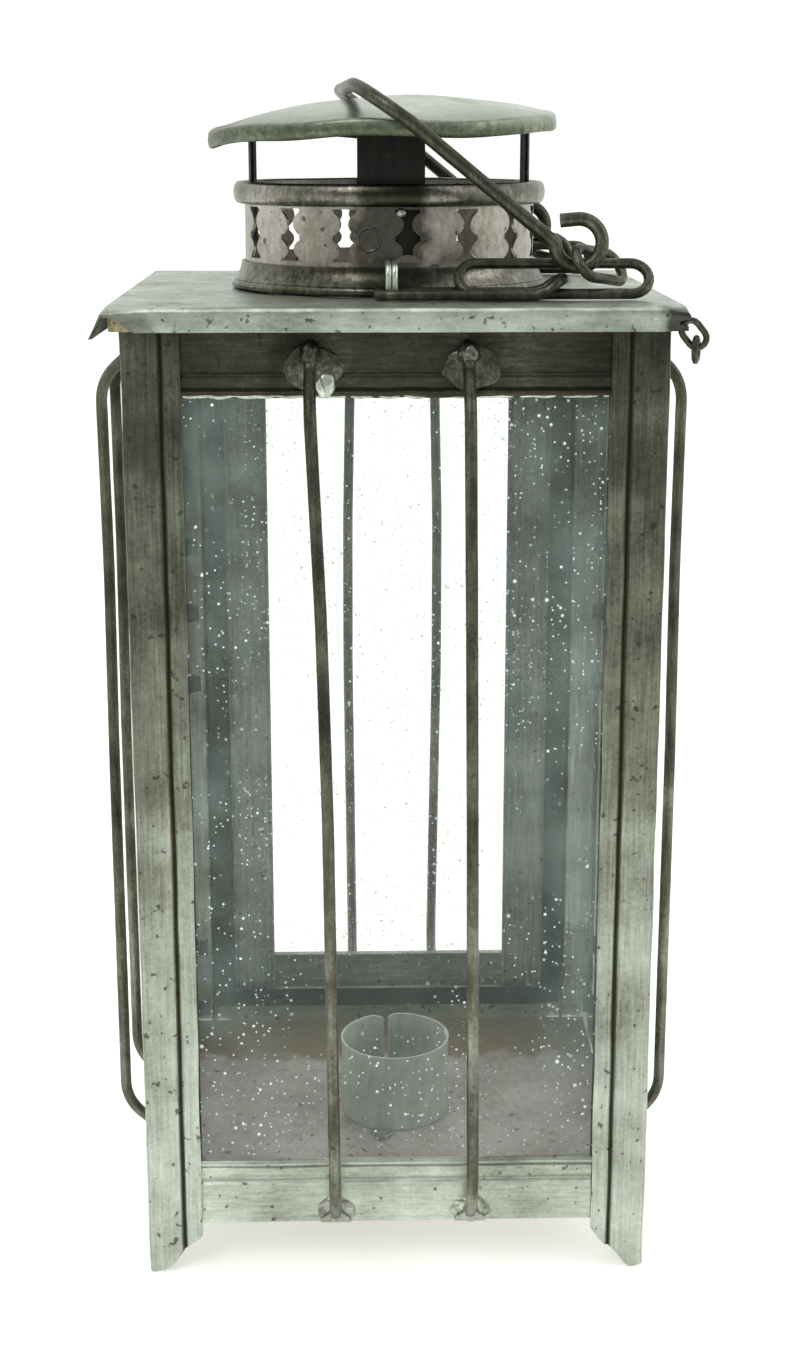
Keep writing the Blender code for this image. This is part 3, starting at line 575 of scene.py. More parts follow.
# Both front corners are darker, and a painted highlight runs as a bright line along the front bend.
stain_and_light_patch(roof_tin, "#1D1E15", (0.067, -0.0685, 0.2490), (1.0, 1.0, 1.0), 0.0045, 0.0035, 0.9)
stain_and_light_patch(roof_tin, "#EDF1E6", (0.0, -0.0690, 0.2512), (0.0, 1.0, 1.0), 0.0004, 0.0007, 0.75)
stain_and_light_patch(roof_tin, "#34362A", (-0.067, -0.0690, 0.2470), (0.35, 1.0, 1.0), 0.0030, 0.0025, 0.7)


def smooth(value):
    """Soft step from 0 to 1."""
    value = min(max(value, 0.0), 1.0)
    return value * value * (3 - 2 * value)


def roof_point(column, columns, ring):
    """Point of the roof's outer skin. Rings run from the flue out, over the edge and down the flange."""
    quarter = columns // 4
    side, step = divmod(column, quarter)
    t = 2 * step / quarter - 1
    t = math.copysign(1 - (1 - abs(t)) ** 1.35, t) if abs(t) > 0.55 else t
    corner = [(t, -1), (1, t), (-t, 1), (-1, -t)][side]
    edge = Vector((corner[0] * ROOF_HALF, corner[1] * ROOF_HALF))
    angle = math.atan2(edge.y, edge.x)
    hole = Vector((vent_x + FLUE * math.cos(angle), FLUE * math.sin(angle)))
    bend = 0.0011
    if ring <= 10:
        share = ring / 10
        flat = edge * (1 - bend / ROOF_HALF)
        place = hole.lerp(flat, share)
        z = roof_top + 0.00025 * noise.noise(Vector((place.x * 60, place.y * 60, 4)))
        return Vector((place.x, place.y, z))
    if ring <= 14:
        lean = math.pi / 2 * (ring - 10) / 4
        out = 1 - bend / ROOF_HALF * (1 - math.sin(lean))
        return Vector((edge.x * out, edge.y * out, roof_top - bend * (1 - math.cos(lean))))
    share = (ring - 14) / 4
    wave = 0.00035 * noise.noise(Vector((edge.x * 90, edge.y * 90, share))) * share
    z = roof_top - bend - (roof_drop - bend) * share
    return Vector((edge.x * (1 + wave / ROOF_HALF), edge.y * (1 + wave / ROOF_HALF), z))


def roof_worked(point):
    """Damage at the two front corners."""
    drop = max(0.0, roof_top - 0.0008 - point.z) / (roof_drop - 0.0008)
    near_left = smooth((0.012 - (point - Vector((-ROOF_HALF, -ROOF_HALF, roof_top))).length) / 0.012)
    if point.y < -0.0685 and point.x > -0.0689:
        short = smooth((-0.0612 - point.x) / 0.0050)
        point.z += short * max(0.0, roof_top - 0.0016 - point.z)
    if point.x < -0.0685:
        flare = smooth((-0.050 - point.y) / 0.019)
        point.x -= 0.0026 * flare * drop
        point.z -= 0.0012 * flare * drop
    point.z -= 0.0006 * near_left
    near_right = smooth(
        (0.0085 - (point - Vector((ROOF_HALF, -ROOF_HALF, roof_top - 0.002))).length) / 0.0085
    )
    point.z -= 0.0014 * near_right * (1 - drop)
    point.y += 0.0019 * near_right * (0.4 + drop)
    point.x -= 0.0006 * near_right * drop
    return point


outer, inner = [], []
for ring in range(19):
    above, below = [], []
    for column in range(240):
        point = roof_point(column, 240, ring)
        under = point.copy()
        if ring <= 10:
            under.z -= SHEET
        elif ring <= 14:
            lean = math.pi / 2 * (ring - 10) / 4
            under.x -= math.copysign(SHEET * math.sin(lean), point.x) * (abs(point.x) > abs(point.y) - 1e-6)
            under.y -= math.copysign(SHEET * math.sin(lean), point.y) * (abs(point.y) > abs(point.x) - 1e-6)
            under.z -= SHEET * math.cos(lean)
        else:
            under.x -= math.copysign(SHEET, point.x) * (abs(point.x) > abs(point.y) - 1e-6)
            under.y -= math.copysign(SHEET, point.y) * (abs(point.y) > abs(point.x) - 1e-6)
        shift = roof_worked(point.copy()) - point
        above.append(point + shift)
        below.append(under + shift)
    outer.append(above)
    inner.append(below)
roof = fit(
    "roof_sheet",
    sheet_solid("roof_sheet", outer, inner, True),
    roof_tin,
    "lantern_body",
    "pale_tin",
    "roof_plate",
)


def trimmed(piece, cutters):
    """Takes closed cutter meshes away from a piece for good."""
    for number, cutter_mesh in enumerate(cutters):
        cutter = bpy.data.objects.new(f"{piece.name}_cutter_{number}", cutter_mesh)
        bpy.context.scene.collection.objects.link(cutter)
        boolean = piece.modifiers.new("cut", "BOOLEAN")
        boolean.solver = "MANIFOLD"
        boolean.operation = "DIFFERENCE"
        boolean.object = cutter
        bpy.context.view_layer.update()
        evaluated = piece.evaluated_get(bpy.context.evaluated_depsgraph_get())
        mesh = bpy.data.meshes.new_from_object(evaluated)
        piece.modifiers.clear()
        piece.data = mesh
        bpy.data.objects.remove(cutter)


def slab(name, size, matrix):
    """Closed block of a size, put in place by a matrix."""
    work = bmesh.new()
    bmesh.ops.create_cube(work, size=1.0)
    bmesh.ops.scale(work, verts=work.verts, vec=size)
    bmesh.ops.transform(work, verts=work.verts, matrix=matrix)
    mesh = bpy.data.meshes.new(name)
    work.to_mesh(mesh)
    work.free()
    return mesh


def drum(name, radius, length, matrix):
    """Closed cylinder put in place by a matrix."""
    work = bmesh.new()
    bmesh.ops.create_cone(work, cap_ends=True, segments=24, radius1=radius, radius2=radius, depth=length)
    bmesh.ops.transform(work, verts=work.verts, matrix=matrix)
    mesh = bpy.data.meshes.new(name)
    work.to_mesh(mesh)
    work.free()
    return mesh


slits = []
for x, y in ((-0.0570, -0.0270), (-0.0546, -0.0100)):
    slits.append(slab("roof_slit", (0.0072, 0.0006, 0.004), Matrix.Translation((x, y, roof_top))))
hole_at = Matrix.Translation((ROOF_HALF, -0.0662, 0.24813)) @ Matrix.Rotation(math.pi / 2, 4, "Y")
slits.append(drum("roof_corner_hole", 0.0016, 0.006, hole_at))
trimmed(roof, slits)

# A rusty yellow brown that shows in the grey corner.
scrap_tin = tinned_iron("stained_scrap_tin", ("#2C2719", "#6E6448", "#A39B7D", "#C9C5AE"), (1.0, 1.0, 1.0))
scrap_points = ((-0.0672, 0.0010), (-0.0640, 0.0022), (-0.0608, 0.0047))
outer, inner = [], []
for x, drop in scrap_points:
    upper = roof_top - drop - 0.0004
    lower = roof_top - roof_drop + 0.0001
    outer.append([(x, -0.0680, lower + (upper - lower) * k / 5) for k in range(6)])
    inner.append([(x, -0.0674, lower + (upper - lower) * k / 5) for k in range(6)])
fit(
    "roof_corner_scrap", sheet_solid("roof_corner_scrap", outer, inner), scrap_tin, "lantern_body", "pale_tin"
)

# Vent
# A flared collar soldered to the roof holds a pierced band, black inside with soot and painted shade. Fifteen
# slits with scalloped sides leave double-lobed piers between them, and a beaded ring stiffens the band's top.

GALLERY_RADIUS = 0.0377
PIERS = 15
PIER_TURN = math.radians(-6)
gallery_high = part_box("vent_gallery")[1]
ring_low, ring_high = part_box("vent_ring")
flare_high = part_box("vent_flare")[1]
# A faint pink that sets the pierced band apart from the greenish sheets.
vent_tin = tinned_iron(
    "pinkish_vent_tin",
    ("#4A473C", "#7F7A6E", "#A69F98", "#C6BDB9", "#E2D9D6"),
    (1.0, 1.0, 0.5),
    freckles=0.67,
    gloss=(0.26, 0.42),
    metallic=0.9,
    mottle=0.7,
)
# Glossy dark olive, which catches narrow highlights on the collar and the ring.
rim_tin = tinned_iron(
    "olive_rim_tin",
    ("#1F1F16", "#3E3D31", "#67655A", "#9C9791", "#D2CAC7"),
    (1.0, 1.0, 0.5),
    freckles=0.68,
    gloss=(0.22, 0.36),
    metallic=1.0,
    mottle=0.8,
)
# A painted dark reflection lies on the middle of the front.
for finish in (vent_tin, rim_tin):
    stain_and_light_patch(finish, "#24241A", (vent_x + 0.0005, -0.038, 0.0), (1.0, 0.25, 0.0), 0.0095, 0.0060, 0.85)


def spun(name, outline, segments, centre, warp=None):
    """Closed ring or dish from a closed outline of (radius, height) points, spun about Z."""
    points = []
    for step in range(segments):
        angle = math.tau * step / segments
        for radius, height in outline:
            point = Vector(
                (centre[0] + radius * math.cos(angle), centre[1] + radius * math.sin(angle), height)
            )
            points.append(warp(point, angle) if warp else point)
    count = len(outline)
    faces = []
    for step in range(segments):
        after = (step + 1) % segments
        for number in range(count):
            other = (number + 1) % count
            faces.append(
                (step * count + number, step * count + other, after * count + other, after * count + number)
            )
    mesh = bpy.data.meshes.new(name)
    mesh.from_pydata([tuple(point) for point in points], [], faces)
    return closed(mesh, 50)


def rolled(centre, half_width, half_height, start, end, steps):
    """Points of an oval bend between two angles in degrees."""
    bend = []
    for step in range(steps + 1):
        angle = math.radians(start + (end - start) * step / steps)
        bend.append((centre[0] + half_width * math.cos(angle), centre[1] + half_height * math.sin(angle)))
    return bend


def uneven(point, angle):
    """Hand-beaten unevenness of the collar and the ring."""
    shift = noise.noise(point * 60) * 0.0002
    outwards = Vector((math.cos(angle), math.sin(angle), 0.4))
    return point + outwards * shift


base = roof_top + 0.0003
neck = GALLERY_RADIUS + 0.0003
skirt = [(neck, flare_high.z), (neck + SHEET, flare_high.z)]
for step in range(9):
    lean = step / 8
    skirt.append((neck + SHEET + 0.0020 * lean**2.2, flare_high.z - (flare_high.z - base - 0.0024) * lean))
skirt += rolled((neck + 0.0021, base + 0.0012), 0.0013, 0.0012, 60, -90, 9)
skirt += [(neck + 0.0003, base), (neck, base + 0.0004)]
fit(
    "vent_collar",
    spun("vent_collar", skirt, 144, (vent_x, 0), uneven),
    rim_tin,
    "lantern_body",
    "pale_tin",
    "vent_flare",
)

middle = (ring_low.z + ring_high.z) / 2
outer_radius = (ring_high.x - ring_low.x) / 2
half_width = (outer_radius - neck) / 2
bead = rolled((neck + half_width, middle), half_width, (ring_high.z - ring_low.z) / 2, 0, 345, 23)
fit(
    "vent_beaded_ring",
    spun("vent_beaded_ring", bead, 144, (vent_x, 0), uneven),
    rim_tin,
    "lantern_body",
    "pale_tin",
    "vent_ring",
)


def grown(name, host_mesh, tree, settings):
    """Mesh that a node tree makes from a host mesh."""
    host = bpy.data.objects.new(f"{name}_host", host_mesh)
    bpy.context.scene.collection.objects.link(host)
    modifier = host.modifiers.new("grow", "NODES")
    modifier.node_group = tree
    for socket in tree.interface.items_tree:
        if socket.in_out == "INPUT" and socket.name in settings:
            modifier[socket.identifier] = settings[socket.name]
    bpy.context.view_layer.update()
    evaluated = host.evaluated_get(bpy.context.evaluated_depsgraph_get())
    mesh = bpy.data.meshes.new_from_object(evaluated)
    bpy.data.objects.remove(host)
    mesh.name = name
    return mesh


def new_tree(name, sockets):
    """Geometry node tree with a geometry input and output and the named inputs."""
    tree = bpy.data.node_groups.new(name, "GeometryNodeTree")
    tree.interface.new_socket("Geometry", in_out="INPUT", socket_type="NodeSocketGeometry")
    for label, kind in sockets.items():
        tree.interface.new_socket(label, in_out="INPUT", socket_type=kind)
    tree.interface.new_socket("Geometry", in_out="OUTPUT", socket_type="NodeSocketGeometry")
    return tree, node(tree, "NodeGroupInput"), node(tree, "NodeGroupOutput")


def pierced_band():
    """Tree that takes one slit shape away from a band at equal steps round it."""
    sockets = {
        "Slits": "NodeSocketInt",
        "First": "NodeSocketFloat",
        "Slit": "NodeSocketObject",
        "Centre": "NodeSocketVector",
        "Finish": "NodeSocketMaterial",
    }
    tree, start, end = new_tree("pierced band", sockets)
    count = start.outputs["Slits"]
    spots = node(tree, "GeometryNodePoints", {"Count": count, "Position": start.outputs["Centre"]})
    number = node(tree, "GeometryNodeInputIndex")
    half = node(tree, "ShaderNodeMath", {0: number.outputs[0], 1: start.outputs["First"]}, operation="ADD")
    step = node(tree, "ShaderNodeMath", {0: math.tau, 1: count}, operation="DIVIDE")
    angle = node(tree, "ShaderNodeMath", {0: half.outputs[0], 1: step.outputs[0]}, operation="MULTIPLY")
    turn = node(tree, "ShaderNodeCombineXYZ", {"Z": angle.outputs[0]})
    shape = node(tree, "GeometryNodeObjectInfo", {"Object": start.outputs["Slit"]})
    placed = node(
        tree,
        "GeometryNodeInstanceOnPoints",
        {"Points": spots.outputs[0], "Instance": shape.outputs["Geometry"], "Rotation": turn.outputs[0]},
    )
    real = node(tree, "GeometryNodeRealizeInstances", {0: placed.outputs[0]})
    pierced = node(tree, "GeometryNodeMeshBoolean", {"Mesh 1": start.outputs["Geometry"]}, solver="EXACT")
    tree.links.new(real.outputs[0], pierced.inputs["Mesh 2"])
    finished = node(
        tree, "GeometryNodeSetMaterial", {"Geometry": pierced.outputs[0], "Material": start.outputs["Finish"]}
    )
    tree.links.new(finished.outputs[0], end.inputs[0])
    return tree


def pier_half_width(share):
    """Half width of a double-lobed pier at a share of the slit's height."""
    upper = 1 - ((share - 0.72) / 0.31) ** 2
    lower = 1 - ((share - 0.23) / 0.25) ** 2
    lobes = max(0.0069 * math.sqrt(max(upper, 0.0)), 0.0067 * math.sqrt(max(lower, 0.0)))
    return max(lobes, 0.0048)


slit_low = roof_top + 0.0084
slit_high = roof_top + 0.0212
pitch = math.tau * GALLERY_RADIUS / PIERS
edge = []
for step in range(33):
    share = step / 32
    edge.append((pitch / 2 - pier_half_width(share), slit_low + (slit_high - slit_low) * share))
shape = edge + [(-x, z) for x, z in reversed(edge)]
slit_mesh = bpy.data.meshes.new("gallery_slit")
near = [(x, -GALLERY_RADIUS - 0.003, z) for x, z in shape]
far = [(x, -GALLERY_RADIUS + 0.003, z) for x, z in shape]
total = len(shape)
slit_faces = [tuple(range(total)), tuple(range(2 * total - 1, total - 1, -1))]
slit_faces += [(i, (i + 1) % total, total + (i + 1) % total, total + i) for i in range(total)]
slit_mesh.from_pydata(near + far, [], slit_faces)
closed(slit_mesh, 60)
slit_cutter = bpy.data.objects.new("gallery_slit", slit_mesh)
bpy.context.scene.collection.objects.link(slit_cutter)
inside = GALLERY_RADIUS - SHEET
band = [(GALLERY_RADIUS, base), (GALLERY_RADIUS, gallery_high.z), (inside, gallery_high.z), (inside, base)]
band_mesh = spun("vent_band", band, 240, (vent_x, 0))
first = 0.5 + PIER_TURN / math.tau * PIERS
settings = {
    "Slits": PIERS,
    "First": first,
    "Slit": slit_cutter,
    "Centre": (vent_x, 0.0, 0.0),
    "Finish": vent_tin,
}
band_mesh = closed(grown("vent_pierced_band", band_mesh, pierced_band(), settings), 40)
bpy.data.objects.remove(slit_cutter)
fit("vent_pierced_band", band_mesh, None, "lantern_body", "pale_tin", "vent_gallery")
# Matt black soot, darkened past soot into painted shade, which makes the slits and the space under the cap
# look deep.
soot_and_shade_tin = tinned_iron(
    "sooted_tin",
    ("#050604", "#0D0E0A", "#17180F", "#24261A"),
    (1.0, 1.0, 0.3),
    gloss=(0.5, 0.75),
    metallic=0.5,
)
band_mesh.materials.append(soot_and_shade_tin)
# Inner faces take the black of soot and painted shade.
for face in band_mesh.polygons:
    across = math.hypot(face.center.x - vent_x, face.center.y)
    if across < GALLERY_RADIUS - 0.0002:
        face.material_index = 1

mark_at = (
    Matrix.Translation((vent_x, 0, roof_top + 0.0140))
    @ Matrix.Rotation(math.radians(-8.5), 4, "Z")
    @ Matrix.Translation((0, -GALLERY_RADIUS + 0.0001, 0))
    @ Matrix.Rotation(math.pi / 2, 4, "X")
)
mark = spun("vent_round_dimple", rolled((0.0028, 0.0), 0.0004, 0.0004, 0, 330, 11), 40, (0, 0))
mark.transform(mark_at)
fit("vent_round_dimple", mark, vent_tin, "lantern_body", "pale_tin")
rivet = spun(
    "vent_rivet", [(0.0, 0.0009), (0.0006, 0.0008), (0.0011, 0.0004), (0.0012, 0.0), (0.0, 0.0)], 20, (0, 0)
)
rivet.transform(
    Matrix.Translation((0.0018, -GALLERY_RADIUS, roof_top + 0.0204)) @ Matrix.Rotation(math.pi / 2, 4, "X")
)
fit("vent_rivet", rivet, solder, "lantern_body", "pale_tin")

# Cap and its straps
# Four curved straps stand inside the band and carry a shallow dished cap with a turned-down rim. The straps
# and the underside are black with soot and painted shade, the top is bare grey tin, and the rim has been
# knocked wavy.

# The straps take the black of soot and painted shade.
for side in ("front", "left", "right", "rear"):
    dress(f"cap_strap_{side}", soot_and_shade_tin)
CAP_X = -0.0026
CAP_RADIUS = 0.045
CAP_TILT = math.radians(-2.2)
cap_top = roof_top + 0.0486
# Smooth grey metal, darker round the rim than on the top; the darker rim and lighter top are painted shade
# and light.
cap_tin = tinned_iron(
    "grey_cap_tin",
    ("#2A2D20", "#5F6454", "#8F9587", "#A9AFA3", "#C6CBC1"),
    (0.6, 1.0, 1.0),
    fade=-0.28,
    freckles=0.70,
    gloss=(0.28, 0.45),
    metallic=0.95,
    heights=(0.2905, 0.2975),
    mottle=0.5,
)


def cap_worked(point, angle):
    """Waves of the rim and the dent in the dish, before the cap is tilted."""
    radius = math.hypot(point.x, point.y)
    out = smooth(radius / CAP_RADIUS)
    point.z += 0.0007 * out * math.sin(3 * angle + 1.1) + 0.0004 * out * math.sin(7 * angle)
    point.z += 0.0004 * noise.noise(point * 60)
    dent = (point - Vector((0.021, -0.012, point.z))).length
    point.z -= 0.0011 * smooth(1 - dent / 0.007)
    return point


rise = 0.0068
dish = [(CAP_RADIUS * k / 14, -rise * (k / 14) ** 2) for k in range(14)]
rim = rolled((CAP_RADIUS - 0.0012, -rise - 0.0004), 0.0012, 0.0010, 80, 0, 5)
rim += [(CAP_RADIUS + 0.0002, -rise - 0.0018), (CAP_RADIUS, -0.0101), (CAP_RADIUS - 0.0004, -0.0104)]
rim += [(CAP_RADIUS - 0.0008, -0.0101)]
under = [((CAP_RADIUS - 0.0016) * k / 14, -rise * (k / 14) ** 2 - SHEET) for k in range(14, -1, -1)]
cap_mesh = spun("cap_dish", dish + rim + under, 160, (0, 0), cap_worked)
cap_mesh.transform(Matrix.Translation((CAP_X, 0, cap_top)) @ Matrix.Rotation(CAP_TILT, 4, "Y"))
fit("cap_dish", cap_mesh, cap_tin, "lantern_body", "pale_tin", "cap")
cap_mesh.materials.append(soot_and_shade_tin)
# Faces under the cap take the black of soot and painted shade.
for face in cap_mesh.polygons:
    centre = face.center
    if face.normal.z < -0.5 and math.hypot(centre.x - CAP_X, centre.y) < CAP_RADIUS - 0.0006:
        face.material_index = 1

# Guard bars
# Bars of drawn iron wire stand off each pane. Each bar's top end is drowned in solder, and its lower end is
# hammered to a flat fan and soldered. A ragged run of bright solder lies along each top rail's lower edge.


def drawn_wire():
    """Tree that draws round wire, a little uneven along its length, through a chain of points."""
    sockets = {
        "Wire radius": "NodeSocketFloat",
        "Unevenness": "NodeSocketFloat",
        "Seed": "NodeSocketFloat",
        "Finish": "NodeSocketMaterial",
    }
    tree, start, end = new_tree("drawn wire", sockets)
    path = node(tree, "GeometryNodeMeshToCurve", {0: start.outputs["Geometry"]})
    where = node(tree, "GeometryNodeInputPosition")
    bumps = node(
        tree,
        "ShaderNodeTexNoise",
        {"Vector": where.outputs[0], "W": start.outputs["Seed"], "Scale": 170.0, "Detail": 2.0},
        noise_dimensions="4D",
    )
    swing = node(tree, "ShaderNodeMath", {0: bumps.outputs[0], 1: 0.5}, operation="SUBTRACT")
    swell = node(
        tree,
        "ShaderNodeMath",
        {0: swing.outputs[0], 1: start.outputs["Unevenness"], 2: 1.0},
        operation="MULTIPLY_ADD",
    )
    ring = node(
        tree, "GeometryNodeCurvePrimitiveCircle", {"Resolution": 16, "Radius": start.outputs["Wire radius"]}
    )
    skin = node(
        tree,
        "GeometryNodeCurveToMesh",
        {
            "Curve": path.outputs[0],
            "Profile Curve": ring.outputs[0],
            "Scale": swell.outputs[0],
            "Fill Caps": True,
        },
    )
    finished = node(
        tree, "GeometryNodeSetMaterial", {"Geometry": skin.outputs[0], "Material": start.outputs["Finish"]}
    )
    tree.links.new(finished.outputs[0], end.inputs[0])
    return tree


def iron_wire(name, tones, fade):
    """Iron wire with a brown skin of age, brighter towards its low end."""
    return tinned_iron(
        name,
        tones,
        (1.0, 1.0, 0.12),
        fade=fade,
        freckles=0.70,
        gloss=(0.26, 0.48),
        mottle=0.8,
        heights=(0.02, 0.16),
    )


wire_tree = drawn_wire()
# The bars are brighter low down. Chains and bail are darker and even.
bar_iron = iron_wire("guard_wire_iron", ("#1D1C15", "#3A3930", "#5A594C", "#86867A", "#B5B6AB"), 0.14)
chain_iron = iron_wire("chain_wire_iron", ("#15150E", "#2C2C22", "#45453A", "#6A6A5E", "#96968A"), 0.0)


def chain_of(points, closed_loop):
    """Host mesh holding only the points and edges of a path."""
    mesh = bpy.data.meshes.new("path")
    edges = [(i, i + 1) for i in range(len(points) - 1)]
    if closed_loop:
        edges.append((len(points) - 1, 0))
    mesh.from_pydata([tuple(point) for point in points], edges, [])
    return mesh


def wire(
    name,
    points,
    radius,
    finish,
    body,
    *stands_for,
    closed_loop=False,
    unevenness=0.10,
    seed=0.0,
    slot="iron_wire",
):
    """Piece of drawn wire through a path of points."""
    settings = {"Wire radius": radius, "Unevenness": unevenness, "Seed": seed, "Finish": finish}
    mesh = closed(grown(name, chain_of(points, closed_loop), wire_tree, settings), 45)
    return fit(name, mesh, None, body, slot, *stands_for)


def rounded(points, radius, steps=10):
    """Chain of points with each inner corner replaced by a smooth bend."""
    path = [Vector(points[0])]
    for before, corner, after in zip(points, points[1:], points[2:]):
        corner = Vector(corner)
        to_before = Vector(before) - corner
        to_after = Vector(after) - corner
        reach = min(radius, to_before.length * 0.48, to_after.length * 0.48)
        start = corner + to_before.normalized() * reach
        end = corner + to_after.normalized() * reach
        for step in range(steps + 1):
            t = step / steps
            path.append((1 - t) ** 2 * start + 2 * t * (1 - t) * corner + t**2 * end)
    path.append(Vector(points[-1]))
    return path


def stepped(points, step):
    """The same path with extra points so that none lie further apart than a step."""
    path = [points[0]]
    for after in points[1:]:
        before = path[-1]
        count = max(1, math.ceil((after - before).length / step))
        path += [before.lerp(after, k / count) for k in range(1, count + 1)]
    return path


def mound(name, centre, sizes, turn, seed, finish, body, roughness):
    """Frozen blob of solder: a flattened ball with a ragged, pitted skin."""
    work = bmesh.new()
    bmesh.ops.create_icosphere(work, subdivisions=4, radius=1.0)
    for vert in work.verts:
        direction = vert.co.normalized()
        wave = noise.noise(direction * 1.6 + Vector((seed, 0, 0))) * roughness * 1.6
        wave += noise.noise(direction * 5 + Vector((0, seed, 0))) * roughness * 0.25
        vert.co = Vector([direction[k] * sizes[k] * (1 + wave) for k in range(3)])
    bmesh.ops.transform(
        work, verts=work.verts, matrix=Matrix.Rotation(turn, 4, "Z") @ Matrix.Translation(centre)
    )
    mesh = bpy.data.meshes.new(name)
    work.to_mesh(mesh)
    work.free()
    return fit(name, closed(mesh, 60), finish, body, "pale_tin")


def fan_foot(name, across, turn, face, top, bottom, finish, body):
    """Hammered wire end: round at the top, spreading to a thin flat fan at the bottom."""
    rows = []
    for row in range(15):
        share = row / 14
        z = top + (bottom - top) * share
        half = 0.0015 + 0.0026 * smooth(share * 1.15)
        thick = 0.0015 * (1 - share) + 0.00045 * share
        out = face + 0.0002 + thick
        ring = []
        for column in range(24):
            angle = math.tau * column / 24
            x = math.copysign(abs(math.cos(angle)) ** 0.7, math.cos(angle)) * half
            y = math.copysign(abs(math.sin(angle)) ** 0.8, math.sin(angle)) * thick
            ring.append(turn @ Vector((across + x, -out + y, z)))
        rows.append(ring)
    points = [tuple(point) for ring in rows for point in ring]
    faces = []
    for row in range(14):
        for column in range(24):
            a = row * 24 + column
            b = row * 24 + (column + 1) % 24
            faces.append((a, b, b + 24, a + 24))
    faces += [tuple(range(24)), tuple(range(14 * 24, 15 * 24))]
    mesh = bpy.data.meshes.new(name)
    mesh.from_pydata(points, [], faces)
    return fit(name, closed(mesh, 45), finish, body, "iron_wire")


BAR_WIRE = 0.0015
BAR_REACH = 0.0755
BAR_TOP, BAR_KNEE_TOP, BAR_KNEE_LOW, BAR_LOW = 0.2415, 0.2375, 0.0172, 0.0139
# Hammered feet, worn as pale as the rails they sit on.
fan_iron = tinned_iron(
    "worn_fan_iron", ("#4A4A3E", "#84867A", "#A5A99D", "#C4C9BE", "#DDE1D8"), (1.0, 1.0, 0.1)
)


def guard_bar(stands_for, side, across_top, across_low, bow, face, heights, body, number, bright_drop=False):
    """One bar with its fan foot and solder. bright_drop adds a fresh drop beside the top end."""
    high, knee_high, knee_low, low = heights
    foot = face + 0.0003 + BAR_WIRE
    middle = (across_top + across_low) / 2 + bow
    run_high, run_low = knee_high - 0.0085, knee_low + 0.0085
    route = [(across_top, -foot, high), (across_top, -foot, knee_high), (across_top, -BAR_REACH, run_high)]
    quarter = (across_top * 0.75 + across_low * 0.25) + bow * 0.9
    route += [(quarter, -BAR_REACH + 0.0004, run_high * 0.75 + run_low * 0.25)]
    route += [(middle, -BAR_REACH, (run_high + run_low) / 2), (across_low, -BAR_REACH, run_low)]
    route += [(across_low, -foot, knee_low), (across_low, -foot, knee_low - 0.001)]
    turn = Matrix.Rotation(TURNS[side], 3, "Z")
    path = stepped([turn @ point for point in rounded(route, 0.0060, 12)], 0.004)
    wire(f"{stands_for}_wire", path, BAR_WIRE, bar_iron, body, stands_for, seed=float(number))
    fan_foot(f"{stands_for}_fan", across_low, turn, face, knee_low + 0.0005, low, fan_iron, body)
    foot_size, patch_size = (0.0050, 0.0009, 0.0036), (0.0070, 0.0011, 0.0056)
    hump_size, drop_size = (0.0027, 0.0034, 0.0030), (0.0024, 0.0014, 0.0031)
    blobs = [
        ("foot_solder", across_low, 0.0001, knee_low - 0.0002, foot_size, 0.3, dark_solder, 0.12),
        ("top_patch", across_top + 0.0006, 0.0, knee_high - 0.0005, patch_size, 0.7, patch_solder, 0.10),
        ("top_hump", across_top, 0.0005, high - 0.0010, hump_size, 2.2, patch_solder, 0.12),
    ]
    if bright_drop:
        drop = ("top_drop", across_top + 0.0037, 0.0002, knee_high - 0.0044, drop_size, 4.1, solder, 0.08)
        blobs.append(drop)
    for label, x, out, z, sizes, seed, finish, roughness in blobs:
        centre = (x, -face - out, z)
        mound(f"{stands_for}_{label}", centre, sizes, TURNS[side], number + seed, finish, body, roughness)


# Nearly black under the roof, with a few bright spots.
patch_solder = tinned_iron(
    "sooty_solder",
    ("#15150F", "#2B2B22", "#4B4B40", "#7B7E73", "#D5DAD1"),
    (1.0, 1.0, 1.0),
    fade=0.10,
    freckles=0.70,
    gloss=(0.22, 0.45),
    metallic=0.85,
)
# Mottled grey round the feet, brighter than the solder above.
dark_solder = tinned_iron(
    "dull_solder",
    ("#1F1F18", "#45463B", "#76796D", "#AEB3A8", "#E6EAE2"),
    (1.0, 1.0, 1.0),
    fade=0.12,
    freckles=0.72,
    gloss=(0.2, 0.5),
    metallic=0.85,
)
heights = (BAR_TOP, BAR_KNEE_TOP, BAR_KNEE_LOW, BAR_LOW)
guard_bar("guard_bar_front_left", "front", -0.0204, -0.0160, 0.0012, 0.064, heights, "lantern_body", 1, True)
guard_bar("guard_bar_front_right", "front", 0.0171, 0.0192, 0.0002, 0.064, heights, "lantern_body", 2)
for side, sign in (("left", -1), ("right", 1)):
    for number, (label, across, bow) in enumerate((("rear", 0.016, 0.0008), ("front", -0.016, -0.0006))):
        across *= sign
        guard_bar(
            f"guard_bar_{side}_{label}",
            side,
            across,
            across,
            bow,
            0.064,
            heights,
            "lantern_body",
            3 + number + sign,
        )

for x in (-0.0204, 0.0171):
    stain_and_light_patch(rail_tin, "#17160F", (x, -0.064, 0.2405), (0.7, 1.0, 1.0), 0.0050, 0.0060, 0.8)
for side in ("front", "left", "right"):
    turn = Matrix.Rotation(TURNS[side], 3, "Z")
    run = []
    for step in range(121):
        x = -0.0505 + 0.101 * step / 120
        run.append(
            turn @ Vector((x, -0.0642, 0.2304 + 0.0005 * noise.noise(Vector((x * 300, TURNS[side], 0)))))
        )
    wire(
        f"top_rail_{side}_solder_run",
        run,
        0.00045,
        solder,
        "lantern_body",
        unevenness=1.3,
        seed=50.0 + TURNS[side],
        slot="pale_tin",
    )

